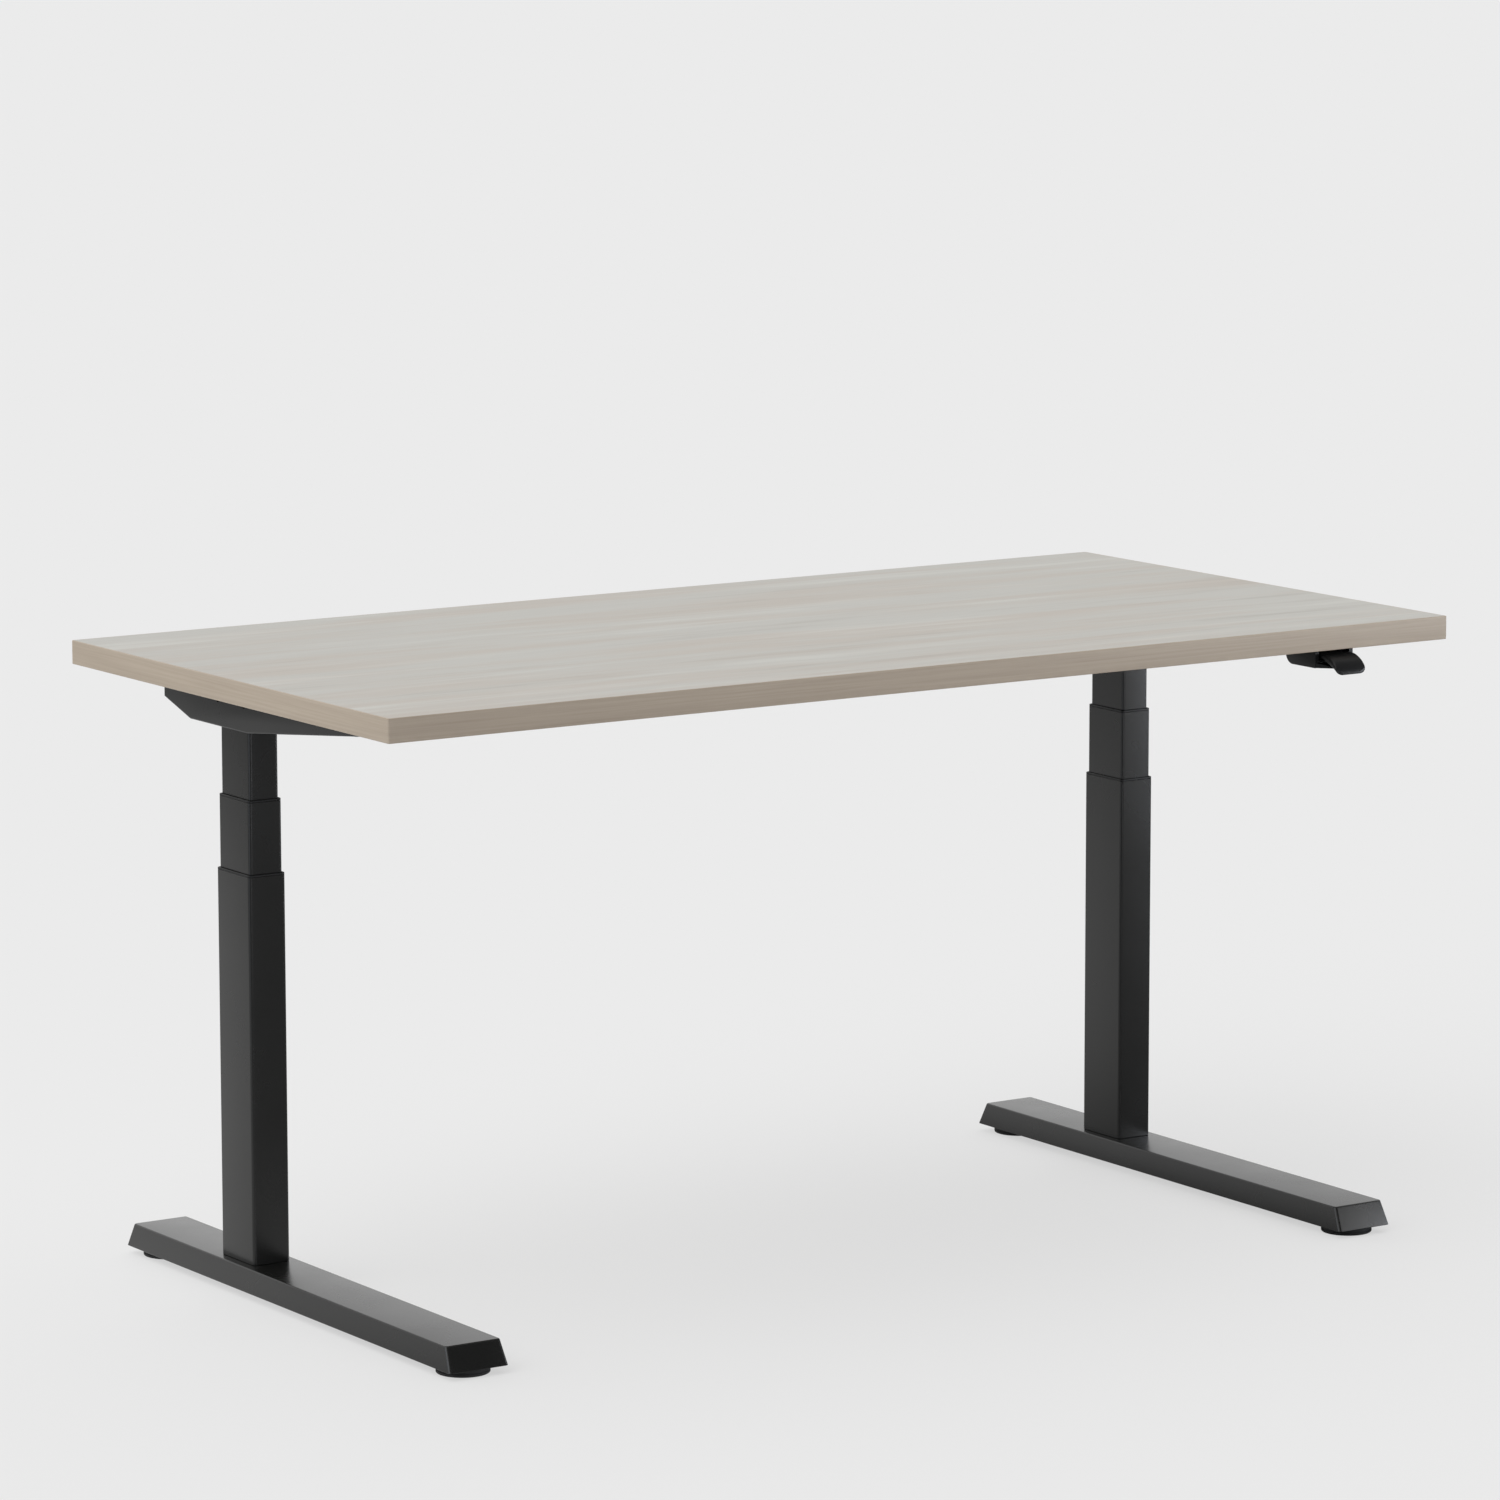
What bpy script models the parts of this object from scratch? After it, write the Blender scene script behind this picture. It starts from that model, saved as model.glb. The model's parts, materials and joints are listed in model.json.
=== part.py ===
"""A two-column height adjustable desk, modelled piece by piece at its rest height.

Metres, +Z up, +X to the user's right, -Y towards the user. The origin is on the floor, under the middle of
the tabletop. Each column has three telescopic stages: the outer tube stands on the foot, the inner tube
carries the top, and the middle tube travels half as far as the inner one. A motor in the inner tube turns
a screw that climbs in the middle stage, and a hollow screw round it that climbs in the outer stage.
"""

import math

import bmesh
import bpy
from mathutils import Vector

# ---- Clearances ---------------------------------------------------------------------------------------
GAP = 0.0003  # between two pieces that touch
RUNNING = 0.0008  # between a screw or pin and what it turns in
STOP_GAP = 0.006  # left between two stages at the lowest position

# ---- Tabletop -----------------------------------------------------------------------------------------
TOP_WIDTH = 1.524
TOP_DEPTH = 0.762
TOP_THICKNESS = 0.029
BAND_THICKNESS = 0.002
BAND_EASING = 0.001

# ---- Feet and glides ----------------------------------------------------------------------------------
FOOT_LENGTH = 0.782
FOOT_WIDTH = 0.080
FOOT_HEIGHT = 0.0295
FOOT_UNDERSIDE = 0.0095
FOOT_END_SLOPE = 0.014
FOOT_SIDE_SLOPE = 0.003
FOOT_WALL = 0.003
FOOT_CORNER = 0.004
FOOT_EDGE = 0.0015
FOOT_CENTRE_Y = 0.014
GLIDE_INSET = 0.037
GLIDE_RADIUS = 0.0318
GLIDE_PLAY = 0.001  # between the pad and the foot above it
GLIDE_EDGE = 0.0015
GLIDE_FLOOR = 0.003
STUD_RADIUS = 0.004
WELD_NUT_RADIUS = 0.008
WELD_NUT_LENGTH = 0.018

# ---- Columns ------------------------------------------------------------------------------------------
COLUMN_INSET = 0.115  # from the side of the tabletop to the column's axis
COLUMN_Y = 0.147
INNER_TUBE_DEPTH = 0.070
TUBE_WALL = 0.002
TUBE_PLAY = 0.0005  # on each side between two stages
TUBE_CORNER = 0.004
MIDDLE_EXPOSED = 0.090
INNER_EXPOSED = 0.082
COLLAR_HEIGHT = 0.0025
COLLAR_EDGE = 0.0008
TRAVEL_DOWN = 0.150
TRAVEL_UP = 0.500

# ---- Drive in each column -----------------------------------------------------------------------------
COLUMN_PLATE = 0.005
SCREW_RADIUS = 0.005
SCREW_ENGAGEMENT = 0.030
HOLLOW_SCREW_WALL = 0.0032
HOLLOW_SCREW_HEAD = 0.012
STAND_TUBE_WALL = 0.002
STAND_TUBE_PLAY = 0.002
BASE_NUT_SHOULDER = 0.0005
BASE_NUT_LENGTH = 0.030
LIFT_PLATE = 0.004
LIFT_TUBE_WALL = 0.0029
LIFT_NUT_LENGTH = 0.020
GEARBOX_PLAY = 0.001
GEARBOX_DEPTH = 0.060
GEARBOX_HEIGHT = 0.040
MOTOR_LENGTH = 0.0642

# ---- Frame under the top ------------------------------------------------------------------------------
BRACKET_DEPTH = 0.0585
BRACKET_PLAY = 0.0025  # on each side of the inner tube
BRACKET_WALL = 0.0025
BRACKET_BACK = 0.1665  # behind the column's axis
BRACKET_FRONT = 0.437  # in front of the column's axis
BRACKET_FLAT_BACK = 0.102
BRACKET_FLAT_FRONT = 0.040
BRACKET_BACK_END = 0.0385
BRACKET_FRONT_END = 0.013
RAIL_SECTION = (0.036, 0.035)
RAIL_WALL = 0.002
RAIL_CORNER = 0.003
RAIL_DROP = 0.025  # from the tabletop to the rails' centre line
RAIL_OFFSETS = (-0.0315, 0.0315)  # behind the column's axis
RAIL_HOLE_RADIUS = 0.0045

# ---- Control box --------------------------------------------------------------------------------------
BOX_SIZE = (0.240, 0.095, 0.030)
BOX_X = 0.180
BOX_BEHIND_RAIL = 0.027
BOX_WALL = 0.002
BOX_CORNER = 0.006
BOX_LID = 0.003
INLET_SIZE = (0.014, 0.027, 0.020)

# ---- Handset ------------------------------------------------------------------------------------------
HANDSET_WIDTH = 0.0595
HANDSET_DEPTH = 0.0586
HANDSET_HEIGHT = 0.0232
HANDSET_BACK_RADIUS = 0.014
HANDSET_WALL = 0.002
HANDSET_INSET_X = 0.135  # from the tabletop's right side to the housing's right side
HANDSET_INSET_Y = 0.0174  # from the tabletop's front to the housing's front
NOSE_REACH = 0.0149
NOSE_ROOT_INSET = 0.003
NOSE_TIP_INSET = 0.0175
NOSE_BACK_HEIGHT = 0.0058
NOSE_FRONT_HEIGHT = 0.002
PADDLE_ROOT_WIDTH = 0.037
PADDLE_LEFT = 0.0202  # from the middle of the pin to the lip's left side
PADDLE_RIGHT = 0.0255
PADDLE_THICKNESS = 0.006
PADDLE_REACH = 0.019  # in front of the tabletop
PADDLE_DROP = 0.0297  # from the tabletop's underside to the tip
PADDLE_SWING = 0.0025  # room under the root in the housing's front
BOARD_DROP = 0.003  # from the root to the circuit board
BOARD_THICKNESS = 0.0015
PIN_RADIUS = 0.00125
PIN_DROP = 0.009
PIN_SETBACK = 0.036  # from the tabletop's front

SIDES = {"left": -1, "right": 1}
ENDS = {"front": -1, "back": 1}

# ---- Radii and sections that follow -------------------------------------------------------------------
HOLLOW_SCREW_BORE = SCREW_RADIUS + RUNNING
HOLLOW_SCREW_RADIUS = HOLLOW_SCREW_BORE + HOLLOW_SCREW_WALL
STAND_TUBE_BORE = HOLLOW_SCREW_RADIUS + STAND_TUBE_PLAY
STAND_TUBE_RADIUS = STAND_TUBE_BORE + STAND_TUBE_WALL
BASE_NUT_RADIUS = STAND_TUBE_RADIUS + BASE_NUT_SHOULDER
LIFT_TUBE_BORE = BASE_NUT_RADIUS + RUNNING
LIFT_TUBE_RADIUS = LIFT_TUBE_BORE + LIFT_TUBE_WALL
STAGE_STEP = 2 * (TUBE_WALL + TUBE_PLAY)
INNER_SECTION = (2 * (LIFT_TUBE_RADIUS + RUNNING + TUBE_WALL), INNER_TUBE_DEPTH)
MIDDLE_SECTION = (INNER_SECTION[0] + STAGE_STEP, INNER_SECTION[1] + STAGE_STEP)
OUTER_SECTION = (MIDDLE_SECTION[0] + STAGE_STEP, MIDDLE_SECTION[1] + STAGE_STEP)
GEARBOX_WIDTH = INNER_SECTION[0] - 2 * (TUBE_WALL + GEARBOX_PLAY)
BRACKET_WIDTH = INNER_SECTION[0] + 2 * (BRACKET_PLAY + BRACKET_WALL)

# ---- Heights and places that follow -------------------------------------------------------------------
GLIDE_HEIGHT = FOOT_UNDERSIDE - GLIDE_PLAY
FOOT_TOP = FOOT_UNDERSIDE + FOOT_HEIGHT
COLUMN_X = TOP_WIDTH / 2 - COLUMN_INSET
TOP_FRONT = -TOP_DEPTH / 2
BOX_Y = COLUMN_Y + RAIL_OFFSETS[1] + RAIL_SECTION[0] / 2 + BOX_BEHIND_RAIL + BOX_SIZE[1] / 2

HALF_DOWN = TRAVEL_DOWN / 2
HALF_UP = TRAVEL_UP / 2
PLATE_TOP = FOOT_TOP + GAP + COLUMN_PLATE
MIDDLE_BOTTOM = PLATE_TOP + STOP_GAP + HALF_DOWN
LIFT_PLATE_TOP = MIDDLE_BOTTOM + LIFT_PLATE
INNER_BOTTOM = LIFT_PLATE_TOP + STOP_GAP + HALF_DOWN
HOLLOW_BOTTOM = MIDDLE_BOTTOM + STOP_GAP / 2
BASE_NUT_BOTTOM = HOLLOW_BOTTOM + HALF_UP + SCREW_ENGAGEMENT
BASE_NUT_TOP = BASE_NUT_BOTTOM + BASE_NUT_LENGTH
HOLLOW_HEAD_BOTTOM = BASE_NUT_TOP + STOP_GAP + HALF_DOWN
HOLLOW_TOP = HOLLOW_HEAD_BOTTOM + HOLLOW_SCREW_HEAD
LIFT_TUBE_TOP = HOLLOW_TOP + RUNNING
LIFT_NUT_BOTTOM = LIFT_TUBE_TOP + GAP
LIFT_NUT_TOP = LIFT_NUT_BOTTOM + LIFT_NUT_LENGTH
SCREW_BOTTOM = LIFT_NUT_BOTTOM - HALF_UP - SCREW_ENGAGEMENT
GEARBOX_BOTTOM = LIFT_NUT_TOP + STOP_GAP + HALF_DOWN
GEARBOX_TOP = GEARBOX_BOTTOM + GEARBOX_HEIGHT
MOTOR_TOP = GEARBOX_TOP + GAP + MOTOR_LENGTH
INNER_TOP = MOTOR_TOP + STOP_GAP
UNDERSIDE = INNER_TOP + GAP + BRACKET_WALL + GAP
DESK_HEIGHT = UNDERSIDE + TOP_THICKNESS
BRACKET_BOTTOM = UNDERSIDE - BRACKET_DEPTH
MIDDLE_TOP = BRACKET_BOTTOM - INNER_EXPOSED
OUTER_TOP = MIDDLE_TOP - MIDDLE_EXPOSED


# ---- Modelling tools ----------------------------------------------------------------------------------
def make_material(name, colour, roughness, metallic=0.0):
    """A plain material with the piece's colour."""
    material = bpy.data.materials.new(name)
    material.use_nodes = True
    shader = material.node_tree.nodes["Principled BSDF"]
    shader.inputs["Base Color"].default_value = (*colour, 1.0)
    shader.inputs["Roughness"].default_value = roughness
    shader.inputs["Metallic"].default_value = metallic
    return material


def make_empty(name, location=(0, 0, 0), parent=None):
    """An empty that groups the pieces of one moving body."""
    empty = bpy.data.objects.new(name, None)
    empty.location = location
    empty.parent = parent
    bpy.context.scene.collection.objects.link(empty)
    return empty


def rounded_rectangle(width, depth, radius, z, centre=(0.0, 0.0), steps=3):
    """Points round a rectangle with arcs of the given radius at its corners, at height z."""
    points = []
    corners = ((1, 1, 0), (-1, 1, 90), (-1, -1, 180), (1, -1, 270))
    for side_x, side_y, start in corners:
        middle_x = centre[0] + side_x * (width / 2 - radius)
        middle_y = centre[1] + side_y * (depth / 2 - radius)
        for step in range(steps + 1):
            angle = math.radians(start + 90 * step / steps)
            points.append(Vector((middle_x + radius * math.cos(angle), middle_y + radius * math.sin(angle), z)))
    return points


def circle(radius, z, sides=24):
    """Points round a circle at height z."""
    turns = [2 * math.pi * side / sides for side in range(sides)]
    return [Vector((radius * math.cos(turn), radius * math.sin(turn), z)) for turn in turns]


def turned(profile, sides=24):
    """Rings of points for a profile of (radius, z) pairs turned about Z."""
    return [circle(radius, z, sides) for radius, z in profile]


def make_solid(name, rings, material, parent, place=(0, 0, 0), tilt=(0, 0, 0), through=False):
    """One closed body skinned over rings of points. through joins the last ring back to the first."""
    shape = bmesh.new()
    loops = [[shape.verts.new(point) for point in ring] for ring in rings]
    following = loops[1:] + loops[:1] if through else loops[1:]
    for loop, next_loop in zip(loops, following):
        for index in range(len(loop)):
            after = (index + 1) % len(loop)
            shape.faces.new((loop[index], loop[after], next_loop[after], next_loop[index]))
    if not through:
        shape.faces.new(loops[0])
        shape.faces.new(loops[-1])
    bmesh.ops.recalc_face_normals(shape, faces=shape.faces)
    mesh = bpy.data.meshes.new(name)
    shape.to_mesh(mesh)
    shape.free()
    mesh.shade_smooth()
    mesh.set_sharp_from_angle(angle=math.radians(35))
    mesh.materials.append(material)
    piece = bpy.data.objects.new(name, mesh)
    piece.location = place
    piece.rotation_euler = tilt
    piece.parent = parent
    bpy.context.scene.collection.objects.link(piece)
    return piece


def make_block(name, low, high, material, parent):
    """A plain block between two corners."""
    outline = [(low[0], low[1]), (high[0], low[1]), (high[0], high[1]), (low[0], high[1])]
    rings = [[Vector((x, y, z)) for x, y in outline] for z in (low[2], high[2])]
    return make_solid(name, rings, material, parent)


def make_tube(name, outer, inner, material, parent, place=(0, 0, 0), tilt=(0, 0, 0)):
    """A tube: outer and inner are lists of rings, both from bottom to top."""
    return make_solid(name, outer + inner[::-1], material, parent, place, tilt, through=True)


def cut(piece, cutter):
    """Takes the cutter's shape out of a piece."""
    cutter.hide_render = True
    cutter.display_type = "WIRE"
    modifier = piece.modifiers.new("cut_" + cutter.name, "BOOLEAN")
    modifier.operation = "DIFFERENCE"
    modifier.solver = "EXACT"
    modifier.object = cutter


def eased_rings(low, high, easing, rounded):
    """Rings of a block whose top and bottom edges are rounded over on the given sides.

    rounded holds the sides' weights (x low, x high, y low, y high), each 1 where the edge is rounded, else 0.
    """
    rings = []
    arc = [math.radians(angle) for angle in (0, 30, 60, 90)]
    levels = [(low[2] + easing * (1 - math.sin(turn)), easing * (1 - math.cos(turn))) for turn in arc[::-1]]
    levels += [(high[2] - easing * (1 - math.sin(turn)), easing * (1 - math.cos(turn))) for turn in arc]
    for z, inset in levels:
        x_low, x_high = low[0] + inset * rounded[0], high[0] - inset * rounded[1]
        y_low, y_high = low[1] + inset * rounded[2], high[1] - inset * rounded[3]
        rings.append([Vector((x, y, z)) for x, y in
                      ((x_low, y_low), (x_high, y_low), (x_high, y_high), (x_low, y_high))])
    return rings


# ---- Tabletop -----------------------------------------------------------------------------------------
def make_tabletop(look, top):
    """The laminated board and the four bands glued round its edge."""
    side, front = TOP_WIDTH / 2, TOP_DEPTH / 2
    edge_x, edge_y = side - BAND_THICKNESS, front - BAND_THICKNESS
    make_block("tabletop_board", (-edge_x + GAP, -edge_y + GAP, UNDERSIDE), (edge_x - GAP, edge_y - GAP, DESK_HEIGHT),
               look["laminate"], top)
    for end, sign in ENDS.items():
        y_low, y_high = sorted((sign * edge_y, sign * front))
        rings = eased_rings((-side, y_low, UNDERSIDE), (side, y_high, DESK_HEIGHT), BAND_EASING,
                            (1, 1, sign < 0, sign > 0))
        make_solid(f"edge_band_{end}", rings, look["edge"], top)
    for name, sign in SIDES.items():
        x_low, x_high = sorted((sign * edge_x, sign * side))
        rings = eased_rings((x_low, -edge_y + GAP, UNDERSIDE), (x_high, edge_y - GAP, DESK_HEIGHT), BAND_EASING,
                            (sign < 0, sign > 0, 0, 0))
        make_solid(f"edge_band_{name}", rings, look["edge"], top)


# ---- Feet and glides ----------------------------------------------------------------------------------
def make_foot(name, look, base, x):
    """A pressed steel foot, open underneath, whose sides and ends lean outwards towards the floor."""
    def ring(height, inset):
        """The foot's outline at a height above its underside, moved in by inset."""
        lean = height / FOOT_HEIGHT
        width = FOOT_WIDTH - 2 * (FOOT_SIDE_SLOPE * lean + inset)
        length = FOOT_LENGTH - 2 * (FOOT_END_SLOPE * lean + inset)
        return rounded_rectangle(width, length, FOOT_CORNER - min(inset, FOOT_EDGE), FOOT_UNDERSIDE + height)

    ceiling = FOOT_HEIGHT - FOOT_WALL
    rings = [ring(ceiling, FOOT_WALL), ring(0.0, FOOT_WALL), ring(0.0, 0.0), ring(FOOT_HEIGHT - FOOT_EDGE, 0.0)]
    for angle in (30, 60, 90):
        turn = math.radians(angle)
        rings.append(ring(FOOT_HEIGHT - FOOT_EDGE * (1 - math.sin(turn)), FOOT_EDGE * (1 - math.cos(turn))))
    make_solid(f"foot_{name}", rings, look["steel_black"], base, (x, FOOT_CENTRE_Y, 0))


def make_glide(label, look, base, x, y):
    """One levelling glide: the nut welded in the foot, the round pad and the stud that turns in both."""
    ceiling = FOOT_TOP - FOOT_WALL
    nut_bottom = ceiling - GAP - WELD_NUT_LENGTH
    bore = STUD_RADIUS + RUNNING
    nut_outer = [circle(WELD_NUT_RADIUS, z, 6) for z in (nut_bottom, ceiling - GAP)]
    nut_inner = [circle(bore, z, 6) for z in (nut_bottom, ceiling - GAP)]
    make_tube(f"weld_nut_{label}", nut_outer, nut_inner, look["zinc"], base, (x, y, 0))

    axis = make_empty(f"glide_axis_{label}", (x, y, 0), base)
    pad = [(bore, GLIDE_FLOOR), (bore, GLIDE_HEIGHT), (GLIDE_RADIUS - GLIDE_EDGE, GLIDE_HEIGHT),
           (GLIDE_RADIUS, GLIDE_HEIGHT - GLIDE_EDGE), (GLIDE_RADIUS, GLIDE_EDGE), (GLIDE_RADIUS - GLIDE_EDGE, 0.0)]
    make_solid(f"glide_pad_{label}", turned(pad), look["rubber"], axis)
    stud = [(STUD_RADIUS, GLIDE_FLOOR + GAP), (STUD_RADIUS, ceiling - RUNNING)]
    make_solid(f"glide_stud_{label}", turned(stud, 12), look["zinc"], axis)


# ---- Columns ------------------------------------------------------------------------------------------
def section_rings(section, inset, bottom, top):
    """The two end rings of a tube's section, moved in by inset."""
    width, depth = section[0] - 2 * inset, section[1] - 2 * inset
    return [rounded_rectangle(width, depth, max(TUBE_CORNER - inset, 0.001), z) for z in (bottom, top)]


def make_stage(name, look, parent, place, section, bottom, top):
    """One rectangular tube of a telescopic column."""
    make_tube(name, section_rings(section, 0.0, bottom, top), section_rings(section, TUBE_WALL, bottom, top),
              look["steel_black"], parent, place)


def make_collar(name, look, parent, place, section, inside, top):
    """The plastic guide collar that closes the mouth of a stage round the next tube."""
    bottom = top - COLLAR_HEIGHT
    outer = section_rings(section, 0.0, bottom, top - COLLAR_EDGE) + section_rings(section, COLLAR_EDGE, top, top)[:1]
    bore = (inside[0] + 2 * GAP, inside[1] + 2 * GAP)
    inner = section_rings(bore, 0.0, bottom, top - COLLAR_EDGE) + section_rings(bore, 0.0, top, top)[:1]
    make_tube(name, outer, inner, look["plastic_black"], parent, place)


def make_column(name, look, base, top, x):
    """A three-stage column with its screws, nuts, gearbox and motor."""
    place = (x, COLUMN_Y, 0)
    middle = make_empty(f"middle_stage_{name}", place, base)
    base_axis = make_empty(f"column_axis_{name}", place, base)
    top_axis = make_empty(f"lift_axis_{name}", place, top)
    here = (0, 0, 0)

    collar_room = COLLAR_HEIGHT + GAP
    make_stage(f"outer_tube_{name}", look, base_axis, here, OUTER_SECTION, FOOT_TOP + GAP, OUTER_TOP - collar_room)
    make_collar(f"outer_collar_{name}", look, base_axis, here, OUTER_SECTION, MIDDLE_SECTION, OUTER_TOP)
    make_stage(f"middle_tube_{name}", look, middle, here, MIDDLE_SECTION, MIDDLE_BOTTOM, MIDDLE_TOP - collar_room)
    make_collar(f"middle_collar_{name}", look, middle, here, MIDDLE_SECTION, INNER_SECTION, MIDDLE_TOP)
    make_stage(f"inner_tube_{name}", look, top_axis, here, INNER_SECTION, INNER_BOTTOM, INNER_TOP)

    plate = section_rings(OUTER_SECTION, TUBE_WALL + GAP, FOOT_TOP + GAP, PLATE_TOP)
    make_solid(f"column_plate_{name}", plate, look["steel"], base_axis)
    make_round_tube(f"stand_tube_{name}", look["steel"], base_axis, STAND_TUBE_RADIUS,
                    STAND_TUBE_BORE, PLATE_TOP + GAP, BASE_NUT_BOTTOM - GAP)
    make_round_tube(f"base_nut_{name}", look["bronze"], base_axis, BASE_NUT_RADIUS,
                    HOLLOW_SCREW_RADIUS + RUNNING, BASE_NUT_BOTTOM, BASE_NUT_TOP)
    make_lift_tube(name, look, middle)
    make_round_tube(f"lift_nut_{name}", look["bronze"], middle, LIFT_TUBE_RADIUS,
                    SCREW_RADIUS + RUNNING, LIFT_NUT_BOTTOM, LIFT_NUT_TOP)
    make_hollow_screw(name, look, middle)
    screw = [(SCREW_RADIUS, SCREW_BOTTOM), (SCREW_RADIUS, GEARBOX_BOTTOM - GAP)]
    make_solid(f"screw_{name}", turned(screw, 16), look["steel"], top_axis)
    gearbox = [rounded_rectangle(GEARBOX_WIDTH, GEARBOX_DEPTH, TUBE_CORNER, z) for z in (GEARBOX_BOTTOM, GEARBOX_TOP)]
    make_solid(f"gearbox_{name}", gearbox, look["aluminium"], top_axis)
    motor = [(GEARBOX_WIDTH / 2, GEARBOX_TOP + GAP), (GEARBOX_WIDTH / 2, MOTOR_TOP)]
    make_solid(f"motor_{name}", turned(motor), look["zinc"], top_axis)


def make_round_tube(name, material, parent, radius, bore, bottom, top):
    """A round tube or nut on the column's axis."""
    make_tube(name, turned([(radius, bottom), (radius, top)]), turned([(bore, bottom), (bore, top)]), material, parent)


def make_lift_tube(name, look, middle):
    """The tube that stands on the middle stage's end plate and holds the lift nut."""
    plate = (MIDDLE_SECTION[0] - 2 * (TUBE_WALL + GAP), MIDDLE_SECTION[1] - 2 * (TUBE_WALL + GAP))
    outer = [stretched(circle(plate[0] / 2, z), plate[1] / plate[0]) for z in (MIDDLE_BOTTOM, LIFT_PLATE_TOP)]
    outer += turned([(LIFT_TUBE_RADIUS, LIFT_PLATE_TOP), (LIFT_TUBE_RADIUS, LIFT_TUBE_TOP)])
    inner = turned([(LIFT_TUBE_BORE, MIDDLE_BOTTOM), (LIFT_TUBE_BORE, LIFT_TUBE_TOP)])
    make_tube(f"lift_tube_{name}", outer, inner, look["steel"], middle)


def stretched(ring, factor):
    """A ring made longer along Y."""
    return [Vector((point.x, point.y * factor, point.z)) for point in ring]


def make_hollow_screw(name, look, middle):
    """The outer screw of the pair, with a head that hangs in the top of the lift tube."""
    head = LIFT_TUBE_BORE - RUNNING
    outer = turned([(HOLLOW_SCREW_RADIUS, HOLLOW_BOTTOM), (HOLLOW_SCREW_RADIUS, HOLLOW_HEAD_BOTTOM),
                    (head, HOLLOW_HEAD_BOTTOM), (head, HOLLOW_TOP)])
    inner = turned([(HOLLOW_SCREW_BORE, HOLLOW_BOTTOM), (HOLLOW_SCREW_BORE, HOLLOW_TOP)])
    make_tube(f"hollow_screw_{name}", outer, inner, look["steel"], middle)


# ---- Frame under the top ------------------------------------------------------------------------------
def make_bracket(name, look, top, x):
    """A pressed channel across the top of a column, deepest over it and shallow at its two ends."""
    upper = UNDERSIDE - GAP
    back, front = COLUMN_Y + BRACKET_BACK, COLUMN_Y - BRACKET_FRONT
    outline = [(back, upper), (back, UNDERSIDE - BRACKET_BACK_END), (COLUMN_Y + BRACKET_FLAT_BACK, BRACKET_BOTTOM),
               (COLUMN_Y - BRACKET_FLAT_FRONT, BRACKET_BOTTOM), (front, UNDERSIDE - BRACKET_FRONT_END),
               (front, upper)]
    half = BRACKET_WIDTH / 2
    rings = [[Vector((side * half, y, z)) for y, z in outline] for side in (-1, 1)]
    bracket = make_solid(f"side_bracket_{name}", rings, look["steel_black"], top, (x, 0, 0))

    room = half - BRACKET_WALL
    low = (x - room, front + BRACKET_WALL, BRACKET_BOTTOM - BRACKET_DEPTH)
    high = (x + room, back - BRACKET_WALL, upper - BRACKET_WALL)
    cut(bracket, make_block(f"bracket_room_{name}", low, high, look["steel_black"], top))
    for index, offset in enumerate(RAIL_OFFSETS):
        hole = turned([(RAIL_HOLE_RADIUS, -BRACKET_WIDTH), (RAIL_HOLE_RADIUS, BRACKET_WIDTH)], 12)
        place = (x, COLUMN_Y + offset, UNDERSIDE - RAIL_DROP)
        cutter = make_solid(f"rail_hole_{name}_{index}", hole, look["steel_black"], top, place, (0, math.pi / 2, 0))
        cut(bracket, cutter)


def make_rails(look, top):
    """The two square tubes that join the side brackets."""
    half_length = COLUMN_X - BRACKET_WIDTH / 2 - GAP
    inside = (RAIL_SECTION[0] - 2 * RAIL_WALL, RAIL_SECTION[1] - 2 * RAIL_WALL)
    for end, offset in zip(ENDS, RAIL_OFFSETS):
        outer, inner = ([rounded_rectangle(section[1], section[0], corner, side * half_length) for side in (-1, 1)]
                        for section, corner in ((RAIL_SECTION, RAIL_CORNER), (inside, RAIL_CORNER - RAIL_WALL)))
        make_tube(f"rail_{end}", outer, inner, look["steel_black"], top,
                  (0, COLUMN_Y + offset, UNDERSIDE - RAIL_DROP), (0, math.pi / 2, 0))


# ---- Control box --------------------------------------------------------------------------------------
def make_control_box(look, top):
    """The plastic box behind the rails that feeds both motors, open at the top and closed by its lid."""
    width, depth, height = BOX_SIZE
    upper = UNDERSIDE - GAP
    rim = upper - BOX_LID - GAP
    bottom = upper - height
    ring = [rounded_rectangle(width - 2 * inset, depth - 2 * inset, BOX_CORNER - inset, z)
            for inset, z in ((BOX_WALL, bottom + BOX_WALL), (BOX_WALL, rim), (0.0, rim), (0.0, bottom))]
    box = make_solid("control_box", ring, look["plastic_black"], top, (BOX_X, BOX_Y, 0))
    lid = [rounded_rectangle(width, depth, BOX_CORNER, z) for z in (rim + GAP, upper)]
    make_solid("control_box_lid", lid, look["plastic_black"], top, (BOX_X, BOX_Y, 0))

    inlet_depth, inlet_width, inlet_height = INLET_SIZE
    end = BOX_X - width / 2
    middle = (bottom + rim) / 2
    low = (end, BOX_Y - inlet_width / 2, middle - inlet_height / 2)
    high = (end + inlet_depth, BOX_Y + inlet_width / 2, middle + inlet_height / 2)
    margin = Vector((GAP, GAP, GAP))
    window = make_block("inlet_window", Vector(low) - margin - Vector((BOX_WALL, 0, 0)), Vector(high) + margin,
                        look["plastic_black"], top)
    cut(box, window)
    inlet = make_block("mains_inlet", low, high, look["plastic_black"], top)
    wall = 2 * BOX_WALL
    socket = make_block("inlet_socket", (low[0] - wall, low[1] + wall, low[2] + wall),
                        (high[0] - wall, high[1] - wall, high[2] - wall), look["plastic_black"], top)
    cut(inlet, socket)


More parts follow.
